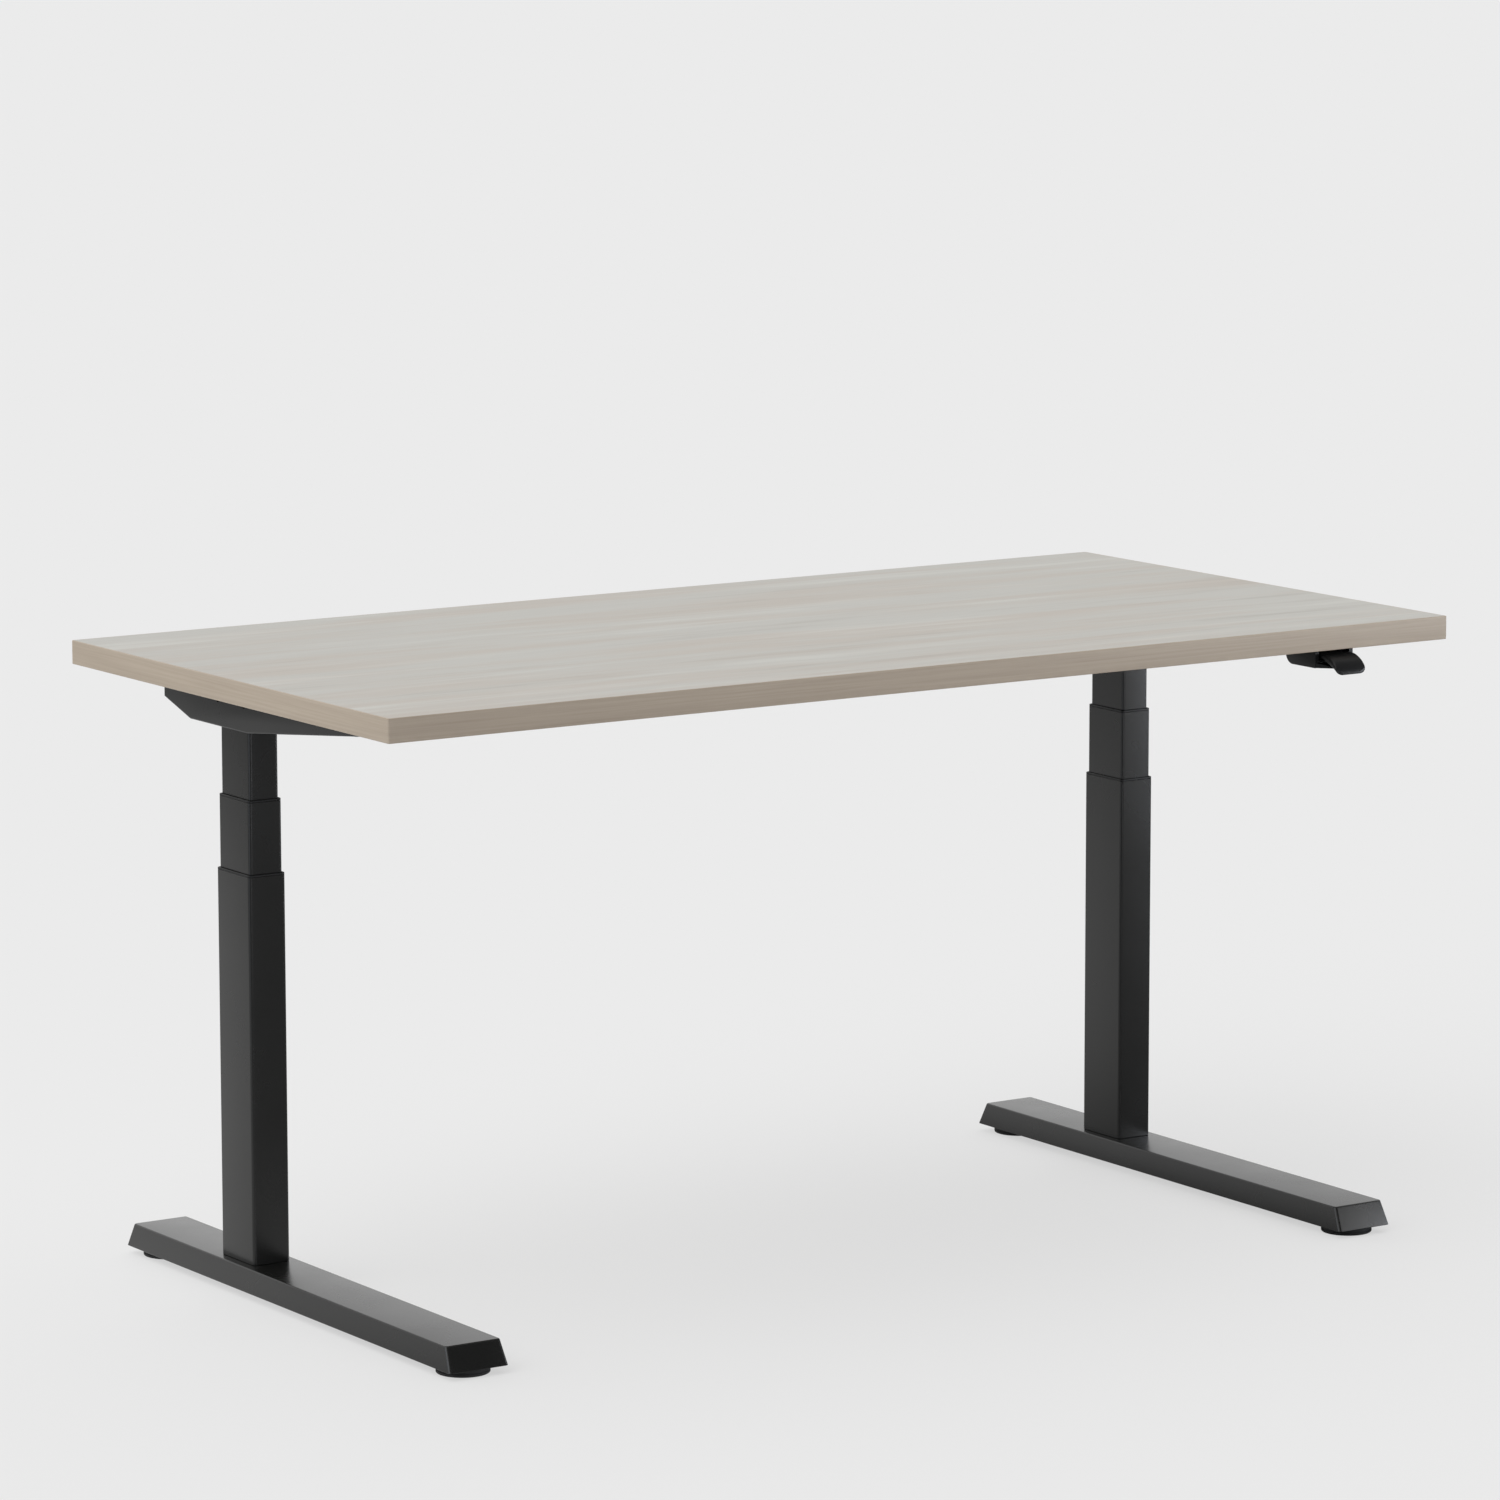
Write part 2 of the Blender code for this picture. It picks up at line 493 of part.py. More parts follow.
# ---- Handset ------------------------------------------------------------------------------------------
def make_handset(look, top):
    """The housing under the front edge, its cover, circuit board, and the paddle that tips on a pin."""
    right = TOP_WIDTH / 2 - HANDSET_INSET_X
    left = right - HANDSET_WIDTH
    front = TOP_FRONT + HANDSET_INSET_Y
    back = front + HANDSET_DEPTH
    upper = UNDERSIDE - GAP
    bottom = upper - HANDSET_HEIGHT
    above = upper + HANDSET_WALL

    def rear(inset):
        """The housing's rounded lower corner at the back, moved in by inset, as (y, z) points."""
        radius = HANDSET_BACK_RADIUS - inset
        turns = [math.radians(angle) for angle in (0, 18, 36, 54, 72, 90)]
        return [(back - inset - radius * (1 - math.sin(turn)), bottom + inset + radius * (1 - math.cos(turn)))
                for turn in turns]

    def extruded(name, profile, low_x, high_x):
        """A solid of that side view between two planes."""
        rings = [[Vector((x, y, z)) for y, z in profile] for x in (low_x, high_x)]
        return make_solid(name, rings, look["plastic_black"], top)

    nose = front - NOSE_REACH
    profile = [(front, upper), (front, bottom + NOSE_BACK_HEIGHT), (nose, bottom + NOSE_FRONT_HEIGHT), (nose, bottom)]
    housing = extruded("handset_housing", profile + rear(0.0) + [(back, upper)], left, right)
    past = NOSE_TIP_INSET
    for name, side, inwards in (("left", left, 1), ("right", right, -1)):
        taper = [(side - inwards * past, front), (side + inwards * NOSE_ROOT_INSET, front),
                 (side + inwards * NOSE_TIP_INSET, nose), (side + inwards * NOSE_TIP_INSET, nose - past),
                 (side - inwards * past, nose - past)]
        rings = [[Vector((x, y, z)) for x, y in taper] for z in (bottom - past, above)]
        cut(housing, make_solid(f"nose_side_{name}", rings, look["plastic_black"], top))
    inside = front + HANDSET_WALL
    room = [(inside, above), (inside, bottom + HANDSET_WALL)] + rear(HANDSET_WALL) + [(back - HANDSET_WALL, above)]
    cut(housing, extruded("handset_room", room, left + HANDSET_WALL, right - HANDSET_WALL))

    paddle_x = (left + right + PADDLE_LEFT - PADDLE_RIGHT) / 2
    pin_y, pin_z = TOP_FRONT + PIN_SETBACK, UNDERSIDE - PIN_DROP
    root_bottom = pin_z - PADDLE_THICKNESS / 2
    slot = make_block("paddle_slot",
                      (paddle_x - PADDLE_LEFT - RUNNING, front - HANDSET_WALL, root_bottom - PADDLE_SWING),
                      (paddle_x + PADDLE_RIGHT + RUNNING, inside + HANDSET_WALL, above), look["plastic_black"], top)
    cut(housing, slot)

    room_left, room_right = left + HANDSET_WALL + GAP, right - HANDSET_WALL - GAP
    cover_low = (room_left, pin_y + PADDLE_THICKNESS, upper - HANDSET_WALL)
    cover_high = (room_right, back - HANDSET_WALL - GAP, upper)
    make_block("handset_cover", cover_low, cover_high, look["plastic_black"], top)
    board_top = root_bottom - BOARD_DROP
    board_low = (room_left, inside + GAP, board_top - BOARD_THICKNESS)
    board_high = (room_right, back - HANDSET_BACK_RADIUS / 2, board_top)
    make_block("handset_circuit_board", board_low, board_high, look["circuit"], top)

    pin = turned([(PIN_RADIUS, room_left - paddle_x), (PIN_RADIUS, room_right - paddle_x)], 12)
    make_solid("paddle_pin", pin, look["zinc"], top, (paddle_x, pin_y, pin_z), (0, math.pi / 2, 0))
    make_paddle(look, top, paddle_x, pin_y, pin_z)


def make_paddle(look, top, paddle_x, pin_y, pin_z):
    """The tongue that the user tips up or down: a flat root on the pin that swells and curves into a wide lip."""
    axis = make_empty("paddle_axis", (paddle_x, pin_y, pin_z), top)
    run = PIN_SETBACK + PADDLE_REACH
    fall = PADDLE_DROP - PIN_DROP
    skin = PADDLE_THICKNESS / 2 / fall
    root_left, root_right = PADDLE_ROOT_WIDTH / 2 / PADDLE_LEFT, PADDLE_ROOT_WIDTH / 2 / PADDLE_RIGHT
    # (share of the run, top and bottom as shares of the fall, spread to the left and right as shares of the lip's)
    stations = ((-0.12, -skin, skin, root_left, root_right), (0.20, -skin, skin, root_left, root_right),
                (0.364, -0.155, skin, 1.0, 0.95), (0.49, -0.155, 0.265, 1.0, 0.99), (0.673, -0.08, 0.483, 1.0, 1.0),
                (0.818, 0.135, 0.652, 1.0, 1.0), (0.945, 0.59, 0.845, 0.98, 0.98), (0.978, 0.734, 0.95, 0.85, 0.83),
                (1.0, 0.845, 0.99, 0.63, 0.59))
    rings = []
    for along, above, below, left_share, right_share in stations:
        height = (below - above) * fall
        left, right = -left_share * PADDLE_LEFT, right_share * PADDLE_RIGHT
        ring = rounded_rectangle(right - left, height, height * 0.35, 0.0,
                                 ((left + right) / 2, -(above + below) / 2 * fall))
        rings.append([Vector((point.x, -along * run, point.y)) for point in ring])
    paddle = make_solid("handset_paddle", rings, look["plastic_black"], axis)
    bore = turned([(PIN_RADIUS + GAP, -PADDLE_ROOT_WIDTH), (PIN_RADIUS + GAP, PADDLE_ROOT_WIDTH)], 12)
    cut(paddle, make_solid("paddle_bore", bore, look["plastic_black"], axis, tilt=(0, math.pi / 2, 0)))


def make_looks():
    """The materials of the pieces, by name."""
    return {
        "laminate": make_material("laminate", (0.56, 0.55, 0.51), 0.5),
        "edge": make_material("edge", (0.42, 0.37, 0.31), 0.5),
        "steel_black": make_material("steel_black", (0.035, 0.035, 0.033), 0.4, 0.2),
        "plastic_black": make_material("plastic_black", (0.015, 0.015, 0.015), 0.45),
        "steel": make_material("steel", (0.45, 0.45, 0.46), 0.35, 1.0),
        "aluminium": make_material("aluminium", (0.65, 0.65, 0.66), 0.4, 1.0),
        "zinc": make_material("zinc", (0.55, 0.56, 0.58), 0.35, 1.0),
        "bronze": make_material("bronze", (0.55, 0.38, 0.2), 0.4, 1.0),
        "rubber": make_material("rubber", (0.012, 0.012, 0.012), 0.7),
        "circuit": make_material("circuit", (0.02, 0.16, 0.06), 0.5),
    }


def main():
    for old in list(bpy.data.objects):
        bpy.data.objects.remove(old)
    look = make_looks()
    base = make_empty("base")
    top = make_empty("top", parent=base)
    make_tabletop(look, top)
    for name, sign in SIDES.items():
        x = sign * COLUMN_X
        make_foot(name, look, base, x)
        make_column(name, look, base, top, x)
        make_bracket(name, look, top, x)
        for end, direction in ENDS.items():
            y = FOOT_CENTRE_Y + direction * (FOOT_LENGTH / 2 - GLIDE_INSET)
            make_glide(f"{end}_{name}", look, base, x, y)
    make_rails(look, top)
    make_control_box(look, top)
    make_handset(look, top)


main()
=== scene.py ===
"""The looks of a two-column height adjustable desk, built piece by piece round its fixed frame.

Metres, Z up, the user at -Y and the user's right hand at +X. Every place comes from the frame's own boxes. The
sizes held here are the fine ones that the frame leaves out: bends, eased edges, threads, screws and grain.
"""
import json
import logging
import math
from dataclasses import dataclass
from enum import Enum
from typing import Any, Iterable, Optional, Sequence

import bmesh
import bpy
from mathutils import Matrix, Vector


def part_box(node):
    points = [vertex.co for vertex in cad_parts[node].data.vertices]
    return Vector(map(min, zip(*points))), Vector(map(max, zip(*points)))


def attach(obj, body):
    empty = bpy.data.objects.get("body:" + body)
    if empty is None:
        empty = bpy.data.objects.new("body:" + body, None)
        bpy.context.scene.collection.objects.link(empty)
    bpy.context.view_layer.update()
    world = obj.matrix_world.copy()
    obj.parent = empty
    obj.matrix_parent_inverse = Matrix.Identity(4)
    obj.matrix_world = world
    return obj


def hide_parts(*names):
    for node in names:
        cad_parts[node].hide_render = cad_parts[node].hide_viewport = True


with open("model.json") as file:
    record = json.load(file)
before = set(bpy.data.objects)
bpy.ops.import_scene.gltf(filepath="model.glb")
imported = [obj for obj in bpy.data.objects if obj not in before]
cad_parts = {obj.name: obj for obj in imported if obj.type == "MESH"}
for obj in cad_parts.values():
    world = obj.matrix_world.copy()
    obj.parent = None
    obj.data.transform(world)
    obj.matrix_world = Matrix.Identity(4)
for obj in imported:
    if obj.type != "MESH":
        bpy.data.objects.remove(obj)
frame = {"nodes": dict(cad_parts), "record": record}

LOG = logging.getLogger("desk")
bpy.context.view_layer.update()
Ring = list[Vector]
Colour = tuple[float, float, float, float]
MILLIMETRE = 0.001
DOWN = Vector((0, 0, -1))
RAILS = ("rail_front", "rail_back")
SHARP_ANGLE = 32.0  # degrees; an edge that turns more than this is drawn sharp


class Surface(Enum):
    """The finishes of the desk, each by the name of the record's material slot."""

    LAMINATE = "laminate"
    EDGE_BAND = "edge_band"
    POWDER_COAT = "powder_coated_steel"
    PLASTIC = "black_plastic"
    BRIGHT_STEEL = "bright_steel"
    BRONZE = "bronze"
    ALUMINIUM = "cast_aluminium"
    ZINC = "zinc_plated"
    RUBBER = "glide_rubber"
    CIRCUIT_BOARD = "circuit_board"


class Side(Enum):
    """The two sides of the desk, each by its sign along X."""

    LEFT = -1
    RIGHT = 1

    @property
    def label(self) -> str:
        """The side's name in the frame."""
        return self.name.lower()


class End(Enum):
    """The two ends of a foot, each by its sign along Y."""

    FRONT = -1
    BACK = 1

    @property
    def label(self) -> str:
        """The end's name in the frame."""
        return self.name.lower()


Palette = dict[Surface, bpy.types.Material]
BODY_OF = {node: body for body, nodes in frame["record"]["behaviour"]["bodies"].items() for node in nodes}


# ---- Nodes and colours ---------------------------------------------------------------------------------
def linear(code: str) -> Colour:
    """Turns an sRGB colour into the linear one that shaders take.

    Args:
        code: six hex digits.

    Returns:
        Red, green, blue and an alpha of 1.
    """
    parts = [int(code[start:start + 2], 16) / 255 for start in (0, 2, 4)]
    red, green, blue = (part / 12.92 if part <= 0.04045 else ((part + 0.055) / 1.055) ** 2.4 for part in parts)
    return red, green, blue, 1.0


def add_node(tree: bpy.types.NodeTree, kind: str, inputs: Optional[dict[Any, Any]] = None,
             **settings: Any) -> bpy.types.Node:
    """Adds one node with its settings, values and links.

    Args:
        tree: the node tree that it joins.
        kind: Blender's name for the kind of node.
        inputs: for each input, by name or number, a value or the output that feeds it.
        settings: the node's own properties.

    Returns:
        The new node.
    """
    node = tree.nodes.new(kind)
    for name, value in settings.items():
        setattr(node, name, value)
    for key, value in (inputs or {}).items():
        if isinstance(value, bpy.types.NodeSocket):
            tree.links.new(value, node.inputs[key])
        else:
            node.inputs[key].default_value = value
    return node


# ---- Mesh tools ----------------------------------------------------------------------------------------
def rounded(width: float, depth: float, radius: float, z: float, steps: int = 8) -> Ring:
    """Points round a rectangle with rounded corners.

    Args:
        width: its size along X.
        depth: its size along Y.
        radius: the corners' radius.
        z: its height.
        steps: the number of faces in each corner.

    Returns:
        The ring of points, anticlockwise from above.
    """
    ring = []
    for sign_x, sign_y, start in ((1, 1, 0), (-1, 1, 90), (-1, -1, 180), (1, -1, 270)):
        for step in range(steps + 1):
            turn = math.radians(start + 90 * step / steps)
            ring.append(Vector((sign_x * (width / 2 - radius) + radius * math.cos(turn),
                                sign_y * (depth / 2 - radius) + radius * math.sin(turn), z)))
    return ring


def circle(radius: float, z: float, sides: int = 40) -> Ring:
    """Points round a circle at height z."""
    turns = [2 * math.pi * side / sides for side in range(sides)]
    return [Vector((radius * math.cos(turn), radius * math.sin(turn), z)) for turn in turns]


def lathe(profile: Sequence[tuple[float, float]], sides: int = 40) -> list[Ring]:
    """Rings for a profile of (radius, height) pairs turned about Z."""
    return [circle(radius, z, sides) for radius, z in profile]


def quarter(steps: int = 5) -> list[tuple[float, float]]:
    """Shares (across, up) of a quarter round, from its side at (0, 0) to its crown at (1, 1)."""
    turns = [math.pi / 2 * step / steps for step in range(steps + 1)]
    return [(1 - math.cos(turn), math.sin(turn)) for turn in turns]


def rim(z: float, radius: float, steps: int = 5) -> list[tuple[float, float]]:
    """Levels (inwards, height) of a rounded edge that ends at z; a negative radius rounds a lower edge."""
    return [(abs(radius) * across, z - radius * (1 - up)) for across, up in quarter(steps)]


def chamfered(low: float, high: float, chamfer: float) -> list[tuple[float, float]]:
    """Levels (inwards, height) of a side between two heights, with a chamfer at each."""
    return [(chamfer, low), (0.0, low + chamfer), (0.0, high - chamfer), (chamfer, high)]


def layered(width: float, depth: float, corner: float, levels: Iterable[tuple[float, float]], least: float = 0.0,
            steps: int = 8) -> list[Ring]:
    """Rings of a rounded rectangle that is moved in differently at each height.

    Args:
        width: its size along X.
        depth: its size along Y.
        corner: the corners' radius, which shrinks as the outline moves in.
        levels: how far inwards and how high each ring is.
        least: the smallest radius of a corner.
        steps: the number of faces in each corner.

    Returns:
        The rings, in the levels' order.
    """
    return [rounded(width - 2 * inwards, depth - 2 * inwards, max(corner - inwards, least), z, steps)
            for inwards, z in levels]


def span_of(node: str) -> Vector:
    """The size of a node's box."""
    low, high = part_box(node)
    return high - low


def middle_of(node: str) -> Vector:
    """The middle of a node's box."""
    low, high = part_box(node)
    return (low + high) / 2


def add_object(name: str, data: bpy.types.ID) -> bpy.types.Object:
    """A new object of the scene."""
    item = bpy.data.objects.new(name, data)
    bpy.context.scene.collection.objects.link(item)
    return item


def as_piece(name: str, shape: bmesh.types.BMesh) -> bpy.types.Object:
    """A finished bmesh as a new object."""
    mesh = bpy.data.meshes.new(name)
    shape.to_mesh(mesh)
    shape.free()
    return add_object(name, mesh)


def skin(name: str, rings: Sequence[Ring], through: bool = False) -> bpy.types.Object:
    """One closed mesh skinned over rings of equal length.

    Its UV map runs along the first ring in U and across the rings in V, both in metres.

    Args:
        name: the piece's name.
        rings: the rings, in order.
        through: whether the last ring joins back to the first, as in a tube, or both are filled in.

    Returns:
        The new object.
    """
    shape = bmesh.new()
    unwrap = shape.loops.layers.uv.new("run")
    loops = [[shape.verts.new(point) for point in ring] for ring in rings]
    count = len(rings[0])
    along = [0.0]
    for index in range(count):
        along.append(along[-1] + (rings[0][(index + 1) % count] - rings[0][index]).length)
    across = 0.0
    for place, (ring, following) in enumerate(zip(loops, loops[1:] + loops[:1] if through else loops[1:])):
        after = across + (rings[(place + 1) % len(rings)][0] - rings[place][0]).length
        for index in range(count):
            nxt = (index + 1) % count
            face = shape.faces.new((ring[index], ring[nxt], following[nxt], following[index]))
            corners = ((along[index], across), (along[index + 1], across), (along[index + 1], after),
                       (along[index], after))
            for loop, corner in zip(face.loops, corners):
                loop[unwrap].uv = corner
        across = after
    if not through:
        shape.faces.new(loops[0])
        shape.faces.new(loops[-1])
    bmesh.ops.recalc_face_normals(shape, faces=shape.faces)
    return as_piece(name, shape)


def settle(piece: bpy.types.Object) -> bpy.types.Object:
    """Makes what a piece's modifiers give its own plain mesh, and removes them."""
    graph = bpy.context.evaluated_depsgraph_get()
    mesh = bpy.data.meshes.new_from_object(piece.evaluated_get(graph))
    mesh.name = piece.name
    piece.modifiers.clear()
    piece.data = mesh
    return piece


def cut(piece: bpy.types.Object, cutters: Iterable[bpy.types.Object]) -> bpy.types.Object:
    """Takes closed shapes out of a piece, and removes them."""
    for cutter in list(cutters):
        modifier = piece.modifiers.new(cutter.name, "BOOLEAN")
        modifier.operation = "DIFFERENCE"
        modifier.solver = "EXACT"
        modifier.object = cutter
        settle(piece)
        bpy.data.objects.remove(cutter)
    return piece


def ease(piece: bpy.types.Object, width: float, segments: int = 3, angle: float = 40.0) -> bpy.types.Object:
    """Rounds a piece's sharp edges over.

    Args:
        piece: the piece.
        width: how wide each rounding is.
        segments: the number of faces across it.
        angle: the least turn at an edge that is rounded, in degrees.

    Returns:
        The same piece.
    """
    modifier = piece.modifiers.new("easing", "BEVEL")
    modifier.width = width
    modifier.segments = segments
    modifier.limit_method = "ANGLE"
    modifier.angle_limit = math.radians(angle)
    modifier.use_clamp_overlap = True
    return settle(piece)


def merge(name: str, parts: Sequence[bpy.types.Object]) -> bpy.types.Object:
    """Several separate shapes as one piece with the given name."""
    shape = bmesh.new()
    for part in parts:
        shape.from_mesh(part.data)
        bpy.data.objects.remove(part)
    return as_piece(name, shape)


def shift(piece: bpy.types.Object, place: Sequence[float], turn: Optional[Matrix] = None) -> bpy.types.Object:
    """Puts a piece's mesh at a place, turned first if asked, and leaves its object at the origin."""
    piece.data.transform(Matrix.Translation(Vector(place)) @ (turn.to_4x4() if turn else Matrix.Identity(4)))
    return piece


def lay(piece: bpy.types.Object, place: Sequence[float]) -> bpy.types.Object:
    """Turns a piece that was built along Z so that it lies along X, and puts it at a place."""
    return shift(piece, place, Matrix.Rotation(math.pi / 2, 3, "Y"))


def extruded(name: str, outline: Sequence[tuple[float, float]], low: float, high: float,
             along_x: bool = True) -> bpy.types.Object:
    """A solid with one outline all the way.

    Args:
        name: its name.
        outline: its corners, as (y, z), or as (x, y) when it runs along Z.
        low: where it starts.
        high: where it ends.
        along_x: whether it runs along X or along Z.

    Returns:
        The solid.
    """
    return skin(name, [[Vector((run, *corner) if along_x else (*corner, run)) for corner in outline]
                       for run in (low, high)])


def block(name: str, low: Sequence[float], high: Sequence[float]) -> bpy.types.Object:
    """A block between two corners."""
    outline = ((low[0], low[1]), (high[0], low[1]), (high[0], high[1]), (low[0], high[1]))
    return extruded(name, outline, low[2], high[2], along_x=False)


def inset(outline: Sequence[tuple[float, float]], distances: Sequence[float]) -> list[tuple[float, float]]:
    """Moves each edge of an outline inwards.

    Args:
        outline: the corners, anticlockwise.
        distances: how far the edge that starts at each corner moves.

    Returns:
        The new corners.
    """
    lines = []
    for index, (start, distance) in enumerate(zip(outline, distances)):
        end = outline[(index + 1) % len(outline)]
        run = Vector((end[0] - start[0], end[1] - start[1])).normalized()
        lines.append((Vector(start) + distance * Vector((-run.y, run.x)), run))
    corners = []
    for index, (point, run) in enumerate(lines):
        before, before_run = lines[index - 1]
        crossing = before_run.x * run.y - before_run.y * run.x
        gap = point - before
        corners.append(tuple(before + before_run * ((gap.x * run.y - gap.y * run.x) / crossing)))
    return corners


def threaded(radius: float, depth: float, lead: float, starts: int, low: float, high: float,
             sides: int = 24, step: float = 0.5 * MILLIMETRE) -> list[Ring]:
    """Rings of a rod with a helical thread.

    Args:
        radius: the thread's outer radius.
        depth: how deep its grooves are.
        lead: how far one turn travels.
        starts: how many threads run side by side.
        low: the lower end.
        high: the upper end.
        sides: the number of points in each ring.
        step: the distance between rings.

    Returns:
        The rings, from low to high, with plain ones at both ends.
    """
    count = max(4, round((high - low) / step))
    rings = [circle(radius - depth, low, sides)]
    for index in range(1, count):
        z = low + (high - low) * index / count
        ring = []
        for side in range(sides):
            phase = (starts * (z / lead - side / sides)) % 1.0
            groove = min(1.0, max(0.0, 1.5 - 4 * abs(phase - 0.5)))
            reach = radius - depth * groove
            turn = 2 * math.pi * side / sides
            ring.append(Vector((reach * math.cos(turn), reach * math.sin(turn), z)))
        rings.append(ring)
    return rings + [circle(radius - depth, high, sides)]


def dress(piece: bpy.types.Object, surface: Surface, palette: Palette, body: str,
          nodes: Sequence[str] = ()) -> bpy.types.Object:
    """Gives a finished piece its material, its shading and its body, and hides the frame's nodes that it stands for.

    Args:
        piece: the piece, in place.
        surface: its finish.
        palette: the built materials.
        body: the body that it moves with.
        nodes: the nodes of the frame that it stands for.

    Returns:
        The same piece.
    """
    piece.data.materials.clear()
    piece.data.materials.append(palette[surface])
    piece.data.shade_smooth()
    piece.data.set_sharp_from_angle(angle=math.radians(SHARP_ANGLE))
    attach(piece, body)
    if nodes:
        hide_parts(*nodes)
    LOG.info("%s: %d faces, moves with %s", piece.name, len(piece.data.polygons), body)
    return piece


def grow(piece: bpy.types.Object, tree: bpy.types.NodeTree, values: dict[str, Any]) -> bpy.types.Object:
    """Runs a geometry tree on a piece and keeps what it gives.

    Args:
        piece: the piece.
        tree: the tree.
        values: the tree's inputs by name.

    Returns:
        The same piece, as a plain mesh.
    """
    modifier = piece.modifiers.new(tree.name, "NODES")
    modifier.node_group = tree
    for item in tree.interface.items_tree:
        if item.in_out == "INPUT" and item.name in values:
            modifier[item.identifier] = values[item.name]
    return settle(piece)


def new_tree(name: str, inputs: dict[str, str]) -> bpy.types.NodeTree:
    """A geometry tree with one geometry output.

    Args:
        name: its name.
        inputs: the kind of each of its inputs, by name.

    Returns:
        The new tree.
    """
    tree = bpy.data.node_groups.new(name, "GeometryNodeTree")
    for label, kind in inputs.items():
        tree.interface.new_socket(label, in_out="INPUT", socket_type=f"NodeSocket{kind}")
    tree.interface.new_socket("Result", in_out="OUTPUT", socket_type="NodeSocketGeometry")
    return tree


def dress_node(name: str, surface: Surface, palette: Palette) -> None:
    """Gives a node of the frame that stays in view its material."""
    for place in frame["nodes"][name].material_slots:
        place.material = palette[surface]
    LOG.info("%s: kept from the frame, in %s", name, surface.value)


# ---- Finishes ------------------------------------------------------------------------------------------
@dataclass(frozen=True)
class Finish:
    """What every finish starts from: a shader with its plain values and the piece's own coordinates."""

    colour: str
    roughness: float
    metallic: float = 0.0
    gloss: float = 0.5

    def build(self, surface: Surface) -> bpy.types.Material:
        """The finished material.

        Args:
            surface: the slot that it is for.

        Returns:
            The new material.
        """
        material = bpy.data.materials.new(f"{type(self).__name__}_{surface.value}")
        material.use_nodes = True
        shader = material.node_tree.nodes["Principled BSDF"]
        for name, value in (("Base Color", linear(self.colour)), ("Roughness", self.roughness),
                            ("Metallic", self.metallic), ("Specular IOR Level", self.gloss)):
            shader.inputs[name].default_value = value
        material.diffuse_color = linear(self.colour)
        self.paint(material.node_tree, shader)
        return material

    def paint(self, tree: bpy.types.NodeTree, shader: bpy.types.Node) -> None:
        """Adds the nodes of one kind of finish."""
        raise NotImplementedError

    def tinted(self, tree: bpy.types.NodeTree, under: Any, over: str, pattern: bpy.types.NodeSocket,
               span: tuple[float, float], share: float, **settings: Any) -> bpy.types.NodeSocket:
        """Lays a colour over another where a pattern is strong.

        Args:
            tree: the material's tree.
            under: the colour below, or the output that gives it.
            over: the colour laid on it.
            pattern: the output that leads it.
            span: the pattern's values where it begins and where it is full.
            share: how much of the upper colour there then is.
            settings: how the share rises between the two.

        Returns:
            The output with both colours.
        """
        rise = add_node(tree, "ShaderNodeMapRange", {"Value": pattern, "From Min": span[0], "From Max": span[1],
                                                     "To Max": share}, **settings)
        return add_node(tree, "ShaderNodeMix", {0: rise.outputs[0], 6: under, 7: linear(over)},
                        data_type="RGBA").outputs[2]

    def worn(self, tree: bpy.types.NodeTree, shader: bpy.types.Node, pattern: bpy.types.NodeSocket,
             spread: tuple[float, float], span: tuple[float, float] = (0.3, 0.7)) -> None:
        """Lets the roughness follow a pattern.

        Args:
            tree: the material's tree.
            shader: its shader.
            pattern: the output that leads it.
            spread: how far below and above the plain roughness it goes.
            span: the pattern's values at these two.
        """
        rough = add_node(tree, "ShaderNodeMapRange", {"Value": pattern, "From Min": span[0], "From Max": span[1],
                                                      "To Min": self.roughness - spread[0],
                                                      "To Max": self.roughness + spread[1]})
        tree.links.new(rough.outputs[0], shader.inputs["Roughness"])

    def embossed(self, tree: bpy.types.NodeTree, shader: bpy.types.Node,
                 *layers: tuple[bpy.types.NodeSocket, float, float]) -> None:
        """Gives the shader fine relief.

        Args:
            tree: the material's tree.
            shader: its shader.
            layers: for each layer of relief, its pattern, its strength and its height.
        """
        below = {}
        for pattern, strength, height in layers:
            relief = add_node(tree, "ShaderNodeBump", {"Height": pattern, "Strength": strength, "Distance": height,
                                                       **below})
            below = {"Normal": relief.outputs[0]}
        tree.links.new(below["Normal"], shader.inputs["Normal"])


